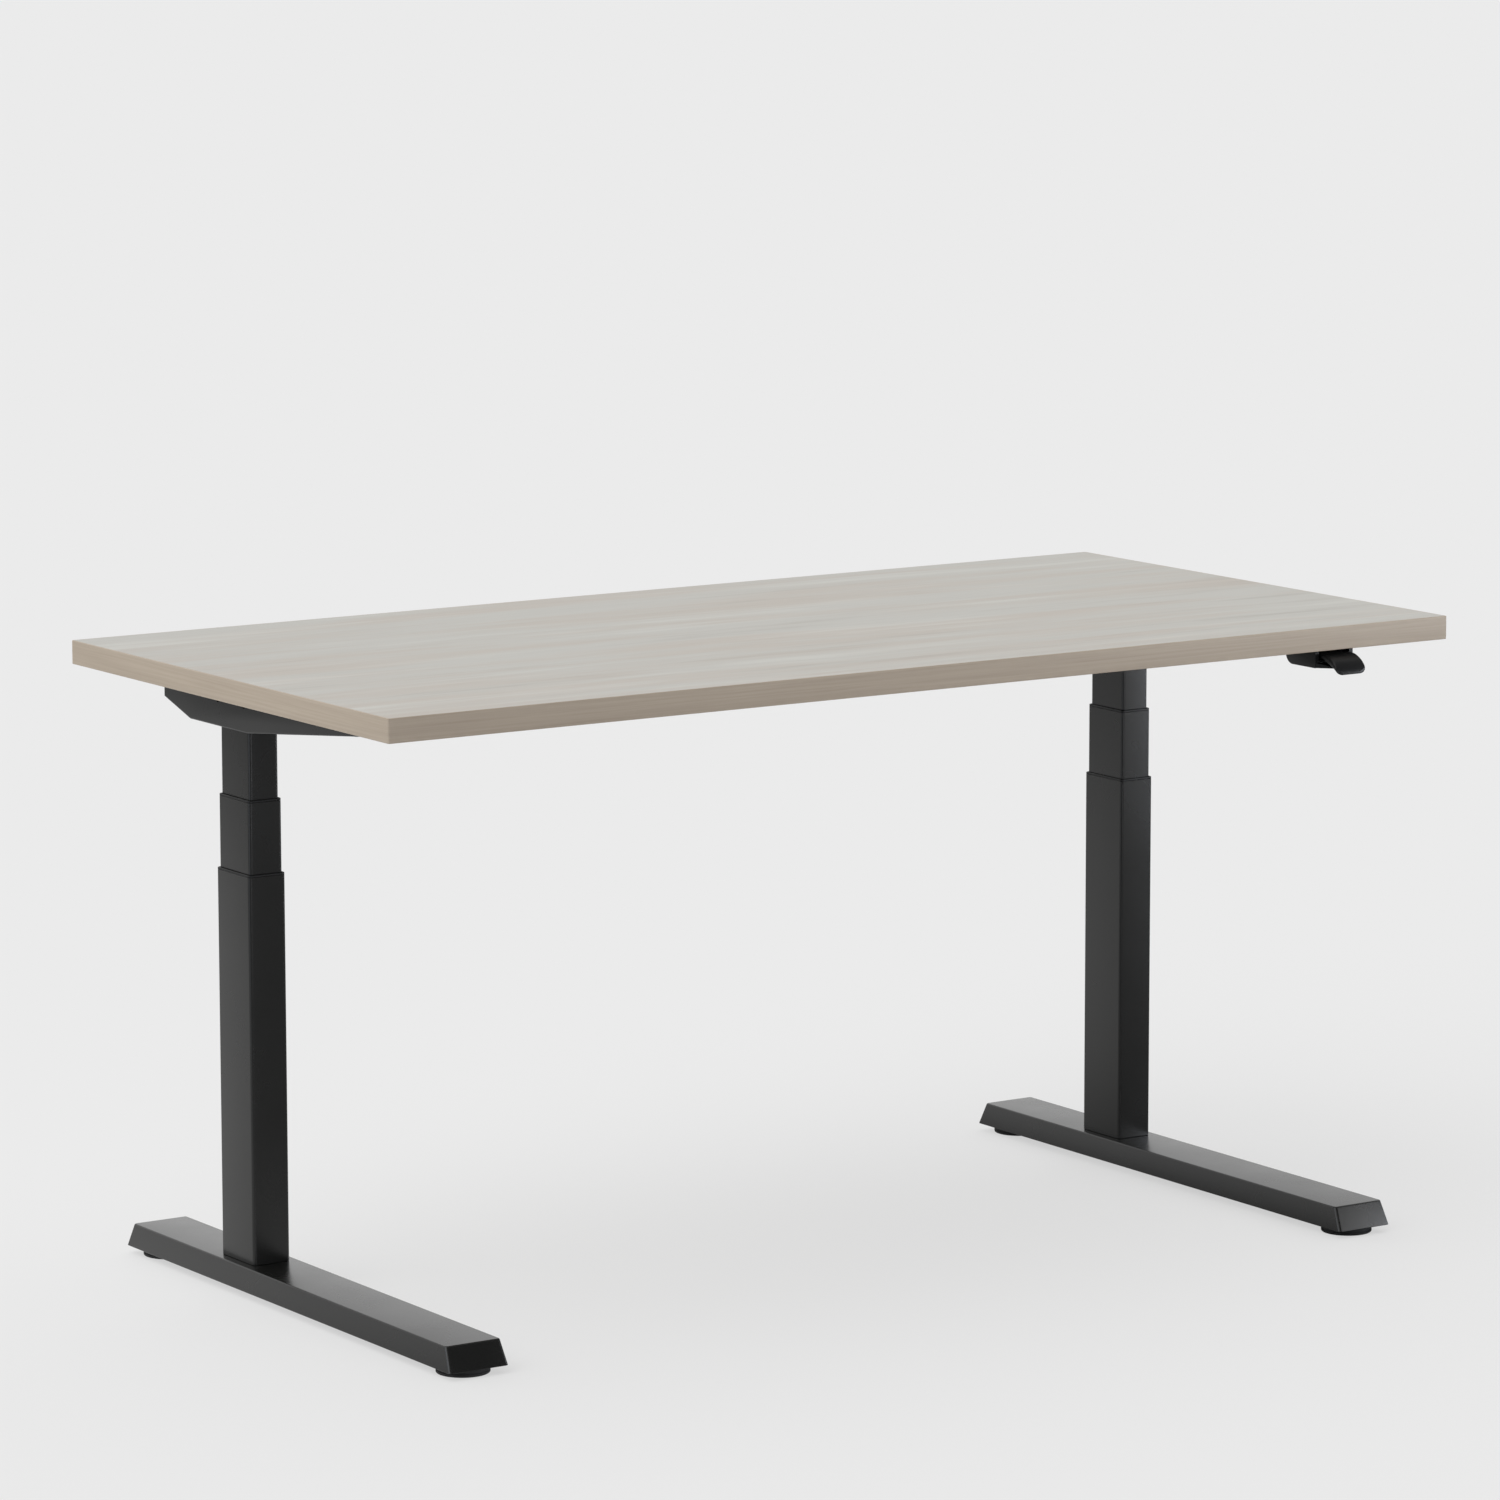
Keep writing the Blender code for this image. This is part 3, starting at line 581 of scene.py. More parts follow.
@dataclass(frozen=True)
class PrintedWoodgrainLaminate(Finish):
    """Melamine-faced board: a printed decor of pale ash under a matt overlay, pressed between steel plates.

    It gives the eye long, very faint streaks along the desk, some greyer and some warmer, with a soft sheen
    that rises when seen along the surface.
    """

    pale: str = "b3b1aa"
    warm: str = "b0a599"
    vein: str = "968f85"
    streak_width: float = 20 * MILLIMETRE
    streak_length: float = 300 * MILLIMETRE
    wander: float = 35 * MILLIMETRE
    fibre_width: float = 1.6 * MILLIMETRE  # a real fibre is 0.3 mm; drawn coarser so that it shows
    fibre_length: float = 60 * MILLIMETRE

    def paint(self, tree: bpy.types.NodeTree, shader: bpy.types.Node) -> None:
        """Adds the printed decor and the overlay's faint relief."""
        place = add_node(tree, "ShaderNodeTexCoord").outputs["Object"]
        # the streaks wander a little instead of running ruler straight
        drift = add_node(tree, "ShaderNodeTexNoise", {"Vector": place, "Scale": 1.7, "Detail": 2.0})
        bend = add_node(tree, "ShaderNodeVectorMath", {0: drift.outputs["Color"], 1: (0.5, 0.5, 0.5)},
                        operation="SUBTRACT")
        wander = add_node(tree, "ShaderNodeVectorMath", {0: bend.outputs[0], 1: (0.0, self.wander, 0.0)},
                          operation="MULTIPLY")
        run = add_node(tree, "ShaderNodeVectorMath", {0: place, 1: wander.outputs[0]}, operation="ADD").outputs[0]
        broad, fine = (add_node(tree, "ShaderNodeMapping", {
            "Vector": run, "Scale": (1 / length, 1 / width, 1 / length)}).outputs[0] for length, width in (
                (self.streak_length, self.streak_width), (self.fibre_length, self.fibre_width)))
        shifted = add_node(tree, "ShaderNodeMapping", {"Vector": broad, "Location": (7.3, 3.1, 1.9),
                                                       "Scale": (0.7, 0.55, 0.7)}).outputs[0]
        streaks, warmth, fibres = (add_node(tree, "ShaderNodeTexNoise", {
            "Vector": along, "Scale": scale, "Detail": detail, "Roughness": roughness}).outputs["Fac"]
            for along, scale, detail, roughness in ((broad, 0.55, 5.0, 0.62), (shifted, 0.6, 4.0, 0.6),
                                                    (fine, 0.6, 3.0, 0.7)))
        soft = {"interpolation_type": "SMOOTHSTEP"}
        colour = self.tinted(tree, linear(self.pale), self.warm, warmth, (0.42, 0.66), 0.65, **soft)
        colour = self.tinted(tree, colour, self.colour, streaks, (0.5, 0.72), 0.6, **soft)
        colour = self.tinted(tree, colour, self.vein, streaks, (0.44, 0.26), 0.5, **soft)
        colour = self.tinted(tree, colour, self.vein, fibres, (0.55, 0.75), 0.22)
        tree.links.new(colour, shader.inputs["Base Color"])
        self.worn(tree, shader, fibres, (0.03, 0.04))
        self.embossed(tree, shader, (fibres, 0.12, 0.05 * MILLIMETRE))


@dataclass(frozen=True)
class PrintedEdgeBand(Finish):
    """ABS edge band: extruded, printed with the board's grain and lacquered matt.

    It gives the eye a warmer and slightly darker edge than the board's face, with a fine grain that runs
    along the band all the way round.
    """

    dark: str = "988978"
    grain_width: float = 2.2 * MILLIMETRE  # a real line is 0.5 mm; drawn coarser so that it shows
    grain_length: float = 160 * MILLIMETRE

    def paint(self, tree: bpy.types.NodeTree, shader: bpy.types.Node) -> None:
        """Adds the printed grain, clouded along the band."""
        run = add_node(tree, "ShaderNodeUVMap", uv_map="run").outputs[0]
        long_grain = add_node(tree, "ShaderNodeMapping", {"Vector": run, "Scale": (
            1 / self.grain_length, 1 / self.grain_width, 1.0)})
        grain = add_node(tree, "ShaderNodeTexNoise", {"Vector": long_grain.outputs[0], "Scale": 0.8, "Detail": 4.0,
                                                      "Roughness": 0.65, "Distortion": 0.3}).outputs["Fac"]
        broad = add_node(tree, "ShaderNodeMapping", {"Vector": run, "Scale": (2.2, 30.0, 1.0)})
        clouds = add_node(tree, "ShaderNodeTexNoise", {"Vector": broad.outputs[0], "Scale": 1.0, "Detail": 2.0})
        colour = self.tinted(tree, linear(self.colour), self.dark, grain, (0.38, 0.72), 0.55)
        colour = self.tinted(tree, colour, self.dark, clouds.outputs["Fac"], (0.4, 0.7), 0.25)
        tree.links.new(colour, shader.inputs["Base Color"])
        self.worn(tree, shader, grain, (0.04, 0.05), (0.0, 1.0))
        self.embossed(tree, shader, (grain, 0.15, 0.05 * MILLIMETRE))


@dataclass(frozen=True)
class PolyesterPowderCoat(Finish):
    """Polyester powder coat on steel: sprayed as dust and baked, so that it flows into a satin skin.

    It gives the eye a deep neutral black, a broad soft highlight on every bend and a faint orange peel.
    """

    fleck: str = "151513"
    peel: float = 2.4 * MILLIMETRE
    dust: float = 0.9 * MILLIMETRE  # real powder grains are 0.05 mm; drawn coarser so that they show

    def paint(self, tree: bpy.types.NodeTree, shader: bpy.types.Node) -> None:
        """Adds the flecks, the uneven gloss and the orange peel."""
        place = add_node(tree, "ShaderNodeTexCoord").outputs["Object"]
        waves = add_node(tree, "ShaderNodeTexNoise", {"Vector": place, "Scale": 1 / self.peel, "Detail": 2.0})
        grains = add_node(tree, "ShaderNodeTexNoise", {"Vector": place, "Scale": 1 / self.dust, "Detail": 2.0,
                                                       "Roughness": 0.7}).outputs["Fac"]
        clouds = add_node(tree, "ShaderNodeTexNoise", {"Vector": place, "Scale": 9.0, "Detail": 3.0})
        colour = self.tinted(tree, linear(self.colour), self.fleck, grains, (0.4, 0.75), 0.8)
        tree.links.new(colour, shader.inputs["Base Color"])
        self.worn(tree, shader, clouds.outputs["Fac"], (0.02, 0.03))
        self.embossed(tree, shader, (waves.outputs["Fac"], 0.06, 0.2 * MILLIMETRE),
                      (grains, 0.08, 0.08 * MILLIMETRE))


@dataclass(frozen=True)
class MouldedAbs(Finish):
    """ABS or rubber, injection moulded against a spark-eroded steel tool.

    It gives the eye an even black whose fine sandy texture breaks the highlights up into a satin glow.
    """

    bloom: str = "0f0f10"
    grit: float = 0.8 * MILLIMETRE  # the tool's texture is 0.1 mm; drawn coarser so that it shows
    depth: float = 0.05 * MILLIMETRE

    def paint(self, tree: bpy.types.NodeTree, shader: bpy.types.Node) -> None:
        """Adds the tool's sandy texture and a faint bloom."""
        place = add_node(tree, "ShaderNodeTexCoord").outputs["Object"]
        sand = add_node(tree, "ShaderNodeTexNoise", {"Vector": place, "Scale": 1 / self.grit, "Detail": 3.0,
                                                     "Roughness": 0.6}).outputs["Fac"]
        clouds = add_node(tree, "ShaderNodeTexNoise", {"Vector": place, "Scale": 35.0, "Detail": 2.0})
        colour = self.tinted(tree, linear(self.colour), self.bloom, clouds.outputs["Fac"], (0.35, 0.75), 0.5)
        tree.links.new(colour, shader.inputs["Base Color"])
        self.worn(tree, shader, sand, (0.05, 0.05))
        self.embossed(tree, shader, (sand, 0.2, self.depth))


@dataclass(frozen=True)
class WorkedMetal(Finish):
    """Bare or plated metal with the marks of how it was made.

    Turned and drawn steel shows fine lines round the piece, cast and sintered metal a sandy skin, and zinc
    plate a faint bluish and straw-coloured cloud.
    """

    cloud: str = "9a9690"
    line: float = 0.8 * MILLIMETRE  # tool marks are 0.1 mm apart; drawn coarser so that they show
    line_stretch: float = 12.0
    relief: float = 0.02 * MILLIMETRE

    def paint(self, tree: bpy.types.NodeTree, shader: bpy.types.Node) -> None:
        """Adds the tool marks and the clouds."""
        place = add_node(tree, "ShaderNodeTexCoord").outputs["Object"]
        long_line = self.line * self.line_stretch
        along = add_node(tree, "ShaderNodeMapping", {"Vector": place, "Scale": (1 / long_line, 1 / long_line,
                                                                                1 / self.line)})
        marks = add_node(tree, "ShaderNodeTexNoise", {"Vector": along.outputs[0], "Scale": 1.0,
                                                      "Detail": 3.0}).outputs["Fac"]
        clouds = add_node(tree, "ShaderNodeTexNoise", {"Vector": place, "Scale": 60.0, "Detail": 3.0})
        colour = self.tinted(tree, linear(self.colour), self.cloud, clouds.outputs["Fac"], (0.35, 0.7), 0.6)
        tree.links.new(colour, shader.inputs["Base Color"])
        self.worn(tree, shader, marks, (0.06, 0.08))
        self.embossed(tree, shader, (marks, 0.25, self.relief))


@dataclass(frozen=True)
class SolderMaskedBoard(Finish):
    """A glass and epoxy circuit board, etched and coated with green solder mask.

    It gives the eye a glossy green with lighter copper tracks under the mask.
    """

    track: str = "2c7a45"
    pitch: float = 2.5 * MILLIMETRE
    gap: float = 0.4 * MILLIMETRE

    def paint(self, tree: bpy.types.NodeTree, shader: bpy.types.Node) -> None:
        """Adds the tracks."""
        place = add_node(tree, "ShaderNodeTexCoord").outputs["Object"]
        cells = add_node(tree, "ShaderNodeTexBrick", {"Vector": place, "Scale": 1.0, "Mortar Size": self.gap,
                                                      "Brick Width": 4 * self.pitch, "Row Height": self.pitch,
                                                      "Color1": linear(self.colour), "Color2": linear(self.colour),
                                                      "Mortar": linear(self.track)})
        tree.links.new(cells.outputs["Color"], shader.inputs["Base Color"])
        self.embossed(tree, shader, (cells.outputs["Fac"], 0.3, 0.03 * MILLIMETRE))


def build_palette() -> Palette:
    """The desk's materials by surface."""
    finishes = {
        Surface.LAMINATE: PrintedWoodgrainLaminate("c1c0b9", 0.5),
        Surface.EDGE_BAND: PrintedEdgeBand("b0a290", 0.5),
        Surface.POWDER_COAT: PolyesterPowderCoat("0c0c0a", 0.26, gloss=0.44),
        Surface.PLASTIC: MouldedAbs("080808", 0.42, gloss=0.3),
        Surface.BRIGHT_STEEL: WorkedMetal("b4b3b0", 0.28, 1.0),
        Surface.BRONZE: WorkedMetal("b08a5a", 0.42, 1.0, cloud="8f6c44", line_stretch=1.0),
        Surface.ALUMINIUM: WorkedMetal("c3c4c6", 0.45, 1.0, cloud="aeb0b3", line_stretch=1.0,
                                       relief=0.05 * MILLIMETRE),
        Surface.ZINC: WorkedMetal("b9bcc0", 0.34, 1.0, cloud="b3ad9c", line_stretch=1.0),
        Surface.RUBBER: MouldedAbs("0b0b0b", 0.62, gloss=0.4, grit=1.2 * MILLIMETRE),
        Surface.CIRCUIT_BOARD: SolderMaskedBoard("0f4a26", 0.3),
    }
    return {surface: finish.build(surface) for surface, finish in finishes.items()}


# ---- Repeated small pieces -----------------------------------------------------------------------------
@dataclass
class KeyScrews:
    """Button-head screws with a hex socket, one at each given place."""

    head_radius: float
    head_height: float
    key_radius: float
    key_depth: float

    def tree(self) -> bpy.types.NodeTree:
        """The tree that domes a head, cuts its socket and repeats it over the points.

        Returns:
            The new tree, whose inputs are the head's sizes and the material.
        """
        tree = new_tree("key_screws", {"Points": "Geometry", "Head Radius": "Float", "Head Height": "Float",
                                       "Key Radius": "Float", "Key Depth": "Float", "Material": "Material"})
        given = add_node(tree, "NodeGroupInput").outputs
        ball = add_node(tree, "GeometryNodeMeshUVSphere", {"Segments": 24, "Rings": 12,
                                                           "Radius": given["Head Radius"]})
        spot = add_node(tree, "ShaderNodeSeparateXYZ", {0: add_node(tree, "GeometryNodeInputPosition").outputs[0]})
        flat = add_node(tree, "ShaderNodeMath", {0: spot.outputs[2], 1: 0.0}, operation="MAXIMUM")
        ratio = add_node(tree, "ShaderNodeMath", {0: given["Head Height"], 1: given["Head Radius"]},
                         operation="DIVIDE")
        height = add_node(tree, "ShaderNodeMath", {0: flat.outputs[0], 1: ratio.outputs[0]}, operation="MULTIPLY")
        target = add_node(tree, "ShaderNodeCombineXYZ", {0: spot.outputs[0], 1: spot.outputs[1],
                                                         2: height.outputs[0]})
        dome = add_node(tree, "GeometryNodeSetPosition", {"Geometry": ball.outputs["Mesh"],
                                                          "Position": target.outputs[0]})
        whole = add_node(tree, "GeometryNodeMergeByDistance", {"Geometry": dome.outputs[0], "Distance": 1e-6})
        key = add_node(tree, "GeometryNodeMeshCylinder", {"Vertices": 6, "Radius": given["Key Radius"],
                                                          "Depth": given["Head Height"]})
        above = add_node(tree, "ShaderNodeMath", {0: given["Head Height"], 1: 1.5}, operation="MULTIPLY")
        rise = add_node(tree, "ShaderNodeMath", {0: above.outputs[0], 1: given["Key Depth"]}, operation="SUBTRACT")
        lift = add_node(tree, "ShaderNodeCombineXYZ", {2: rise.outputs[0]})
        raised = add_node(tree, "GeometryNodeTransform", {"Geometry": key.outputs["Mesh"],
                                                          "Translation": lift.outputs[0]})
        head = add_node(tree, "GeometryNodeMeshBoolean", {0: whole.outputs[0], 1: raised.outputs[0]},
                        operation="DIFFERENCE", solver="EXACT")
        axis = add_node(tree, "GeometryNodeInputNamedAttribute", {"Name": "axis"}, data_type="FLOAT_VECTOR")
        aim = add_node(tree, "FunctionNodeAlignRotationToVector", {"Vector": axis.outputs["Attribute"]}, axis="Z")
        copies = add_node(tree, "GeometryNodeInstanceOnPoints", {"Points": given["Points"],
                                                                 "Instance": head.outputs["Mesh"],
                                                                 "Rotation": aim.outputs[0]})
        solid = add_node(tree, "GeometryNodeRealizeInstances", {"Geometry": copies.outputs[0]})
        coated = add_node(tree, "GeometryNodeSetMaterial", {"Geometry": solid.outputs[0],
                                                            "Material": given["Material"]})
        add_node(tree, "NodeGroupOutput", {"Result": coated.outputs[0]})
        return tree

    def build(self, name: str, places: Sequence[tuple[Vector, Vector]], palette: Palette,
              body: str) -> bpy.types.Object:
        """One mesh with a zinc-plated screw at each place.

        Args:
            name: the piece's name.
            places: where each head sits and the way it faces.
            palette: the built materials.
            body: the body that they move with.

        Returns:
            The dressed piece.
        """
        mesh = bpy.data.meshes.new(name)
        mesh.from_pydata([point for point, _ in places], [], [])
        axes = mesh.attributes.new("axis", "FLOAT_VECTOR", "POINT")
        for item, (_, axis) in zip(axes.data, places):
            item.vector = axis
        screws = grow(add_object(name, mesh), self.tree(), {
            "Head Radius": self.head_radius, "Head Height": self.head_height, "Key Radius": self.key_radius,
            "Key Depth": self.key_depth, "Material": palette[Surface.ZINC]})
        return dress(screws, Surface.ZINC, palette, body)


@dataclass
class CoolingRibs:
    """A row of low ribs moulded on the underside of a plastic box."""

    count: int = 14
    pitch: float = 8 * MILLIMETRE
    length: float = 62 * MILLIMETRE
    width: float = 3 * MILLIMETRE
    height: float = 1.2 * MILLIMETRE
    edge: float = 0.4 * MILLIMETRE

    def build(self, name: str, middle: Vector, surface: Surface, palette: Palette, body: str) -> bpy.types.Object:
        """The ribs as one mesh.

        Args:
            name: the piece's name.
            middle: the middle of the row, on the face that carries it.
            surface: the ribs' finish.
            palette: the built materials.
            body: the body that they move with.

        Returns:
            The dressed piece.
        """
        tree = new_tree(name, {"Ribs": "Geometry", "Pitch": "Float", "Size": "Vector", "Start": "Vector",
                               "Material": "Material"})
        given = add_node(tree, "NodeGroupInput").outputs
        step = add_node(tree, "ShaderNodeCombineXYZ", {0: given["Pitch"]})
        line = add_node(tree, "GeometryNodeMeshLine", {"Count": self.count, "Offset": step.outputs[0]})
        bar = add_node(tree, "GeometryNodeMeshCube", {"Size": given["Size"]})
        copies = add_node(tree, "GeometryNodeInstanceOnPoints", {"Points": line.outputs[0],
                                                                 "Instance": bar.outputs[0]})
        solid = add_node(tree, "GeometryNodeRealizeInstances", {"Geometry": copies.outputs[0]})
        moved = add_node(tree, "GeometryNodeTransform", {"Geometry": solid.outputs[0],
                                                         "Translation": given["Start"]})
        coated = add_node(tree, "GeometryNodeSetMaterial", {"Geometry": moved.outputs[0],
                                                            "Material": given["Material"]})
        add_node(tree, "NodeGroupOutput", {"Result": coated.outputs[0]})
        start = middle - Vector(((self.count - 1) * self.pitch / 2, 0.0, self.height / 2))
        ribs = grow(add_object(name, bpy.data.meshes.new(name)), tree, {
            "Pitch": self.pitch, "Size": (self.width, self.length, self.height), "Start": tuple(start),
            "Material": palette[surface]})
        return dress(ease(ribs, self.edge, 2), surface, palette, body)


COLUMN_BOLT = KeyScrews(6.5 * MILLIMETRE, 4 * MILLIMETRE, 2.9 * MILLIMETRE, 2.5 * MILLIMETRE)
BRACKET_SCREW = KeyScrews(5.2 * MILLIMETRE, 3 * MILLIMETRE, 2.2 * MILLIMETRE, 1.8 * MILLIMETRE)
BOX_SCREW = KeyScrews(3.2 * MILLIMETRE, 1.8 * MILLIMETRE, 1.3 * MILLIMETRE, 1.1 * MILLIMETRE)


@dataclass
class Assembly:
    """A group of pieces that are built together and take their finishes from one palette."""

    palette: Palette

    def dressed(self, piece: bpy.types.Object, surface: Surface, *nodes: str) -> bpy.types.Object:
        """Dresses a piece that stands for nodes of the frame, and moves it with their body."""
        return dress(piece, surface, self.palette, BODY_OF[nodes[0]], nodes)

    def seated(self, piece: bpy.types.Object, surface: Surface, node: str) -> bpy.types.Object:
        """Dresses a piece that was built round the Z axis, put where its node stands."""
        middle = middle_of(node)
        return self.dressed(shift(piece, (middle.x, middle.y, 0.0)), surface, node)


# ---- Tabletop ------------------------------------------------------------------------------------------
@dataclass
class Tabletop(Assembly):
    """The laminated board and the band glued round its edge."""

    band: float = 2 * MILLIMETRE
    easing: float = 1 * MILLIMETRE
    corner: float = 3 * MILLIMETRE
    glue_line: float = 0.1 * MILLIMETRE

    def build(self) -> list[bpy.types.Object]:
        """Builds the board and the band.

        Returns:
            The two pieces.
        """
        low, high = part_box("edge_band_front")
        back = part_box("edge_band_back")[1]
        width, depth = high.x - low.x, back.y - low.y
        centre = ((low.x + high.x) / 2, (low.y + back.y) / 2, 0.0)
        board = self.board(width, depth, low.z, high.z)
        band = self.band_ring(width, depth, low.z, high.z)
        return [self.dressed(shift(board, centre), Surface.LAMINATE, "tabletop_board"),
                self.dressed(shift(band, centre), Surface.EDGE_BAND,
                             *(f"edge_band_{side}" for side in ("front", "back", "left", "right")))]

    def board(self, width: float, depth: float, bottom: float, top: float) -> bpy.types.Object:
        """The board inside the band, with the faint line where the two meet."""
        levels = [(self.band + inwards, z) for inwards, z in chamfered(bottom, top, self.glue_line)]
        return skin("tabletop_panel", layered(width, depth, self.corner, levels, self.corner - self.band))

    def band_ring(self, width: float, depth: float, bottom: float, top: float) -> bpy.types.Object:
        """The band as one ring, its two outer edges eased."""
        levels = rim(bottom, -self.easing)[::-1] + rim(top, self.easing) + [(self.band, top), (self.band, bottom)]
        return skin("edge_banding", layered(width, depth, self.corner, levels, 0.5 * MILLIMETRE), through=True)


# ---- Feet and glides -----------------------------------------------------------------------------------
@dataclass
class Foot(Assembly):
    """A pressed steel foot with its two levelling glides."""

    side: Side
    end_slope: float = 14 * MILLIMETRE
    side_slope: float = 3 * MILLIMETRE
    wall: float = 3 * MILLIMETRE
    corner: float = 4 * MILLIMETRE
    edge: float = 1.5 * MILLIMETRE
    rim: float = 0.5 * MILLIMETRE
    bolt_spread: tuple[float, float] = (13 * MILLIMETRE, 26 * MILLIMETRE)

    def build(self) -> list[bpy.types.Object]:
        """Builds the foot, its screws and its glides.

        Returns:
            The pieces.
        """
        name = f"foot_{self.side.label}"
        low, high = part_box(name)
        pieces = [self.seated(self.shell(low, high), Surface.POWDER_COAT, name), self.bolts(high.z - self.wall)]
        for end in End:
            pieces += Glide(self.palette, f"{end.label}_{self.side.label}").build()
        return pieces

    def shell(self, low: Vector, high: Vector) -> bpy.types.Object:
        """The pressed shell, open underneath, its edges rounded by the press.

        Args:
            low: the lowest corner of the foot.
            high: the highest corner of the foot.

        Returns:
            The shell, centred on the origin in plan.
        """
        height = high.z - low.z
        ceiling = height - self.wall
        levels = [(self.wall + self.edge, ceiling), (self.wall, ceiling - self.edge), (self.wall, self.rim),
                  (self.wall - self.rim, 0.0), (self.rim, 0.0), (0.0, self.rim)]
        rings = []
        for inwards, rise in levels + rim(height, self.edge, 6):
            lean = rise / height
            rings.append(rounded(high.x - low.x - 2 * (self.side_slope * lean + inwards),
                                 high.y - low.y - 2 * (self.end_slope * lean + inwards),
                                 self.corner - min(inwards, self.edge), low.z + rise))
        return skin(f"foot_shell_{self.side.label}", rings)

    def bolts(self, ceiling: float) -> bpy.types.Object:
        """The four bolts that hold the column, seen from under the foot."""
        low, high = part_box(f"outer_tube_{self.side.label}")
        x, y = (low.x + high.x) / 2, (low.y + high.y) / 2
        reach_x, reach_y = self.bolt_spread
        places = [(Vector((x + sx * reach_x, y + sy * reach_y, ceiling)), DOWN)
                  for sx in (-1, 1) for sy in (-1, 1)]
        return COLUMN_BOLT.build(f"column_bolts_{self.side.label}", places, self.palette,
                                 BODY_OF[f"foot_{self.side.label}"])


@dataclass
class Glide(Assembly):
    """A round levelling glide: its pad, its threaded stud and the nut welded in the foot."""

    label: str
    thread_lead: float = 1.25 * MILLIMETRE
    thread_depth: float = 0.6 * MILLIMETRE
    edge: float = 1.5 * MILLIMETRE
    groove: float = 0.8 * MILLIMETRE
    chamfer: float = 1 * MILLIMETRE
    burr: float = 0.3 * MILLIMETRE
    pad_clearance: float = 0.8 * MILLIMETRE
    nut_clearance: float = 0.4 * MILLIMETRE

    def build(self) -> list[bpy.types.Object]:
        """Builds the pad, the stud and the nut.

        Returns:
            The three pieces.
        """
        return [self.seated(shape, surface, f"{node}_{self.label}")
                for shape, surface, node in ((self.pad(), Surface.RUBBER, "glide_pad"),
                                             (self.stud(), Surface.ZINC, "glide_stud"),
                                             (self.nut(), Surface.ZINC, "weld_nut"))]

    def bore(self, clearance: float) -> float:
        """The radius of a hole round the stud."""
        return span_of(f"glide_stud_{self.label}").x / 2 + clearance

    def pad(self) -> bpy.types.Object:
        """The pad, with a rounded rim and a shallow groove for a spanner round its side."""
        low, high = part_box(f"glide_pad_{self.label}")
        radius, bore, groove = (high.x - low.x) / 2, self.bore(self.pad_clearance), self.groove
        middle = (low.z + high.z) / 2
        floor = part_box(f"glide_stud_{self.label}")[0].z - self.burr
        profile = [(bore, floor), (bore, high.z - self.burr), (bore + self.burr, high.z)]
        profile += [(radius - inwards, z) for inwards, z in rim(high.z, self.edge, 4)[::-1]]
        profile += [(radius, middle + groove), (radius - groove, middle + groove / 2),
                    (radius - groove, middle - groove / 2), (radius, middle - groove)]
        profile += [(radius - inwards, z) for inwards, z in rim(low.z, -self.edge, 4)]
        return skin(f"glide_foot_{self.label}", lathe(profile, 64))

    def stud(self) -> bpy.types.Object:
        """The stud with its thread."""
        low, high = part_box(f"glide_stud_{self.label}")
        radius = (high.x - low.x) / 2
        return skin(f"threaded_stud_{self.label}", threaded(radius, self.thread_depth, self.thread_lead, 1, low.z,
                                                           high.z, 20, self.thread_lead / 6))

    def nut(self) -> bpy.types.Object:
        """The hexagonal nut, its corners chamfered by the turning tool."""
        low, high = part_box(f"weld_nut_{self.label}")
        radius, bore = (high.x - low.x) / 2, self.bore(self.nut_clearance)
        profile = [(bore, low.z), (radius - self.chamfer, low.z), (radius, low.z + self.chamfer / 2),
                   (radius, high.z - self.chamfer / 2), (radius - self.chamfer, high.z), (bore, high.z)]
        return skin(f"hexagon_nut_{self.label}", lathe(profile, 6), through=True)


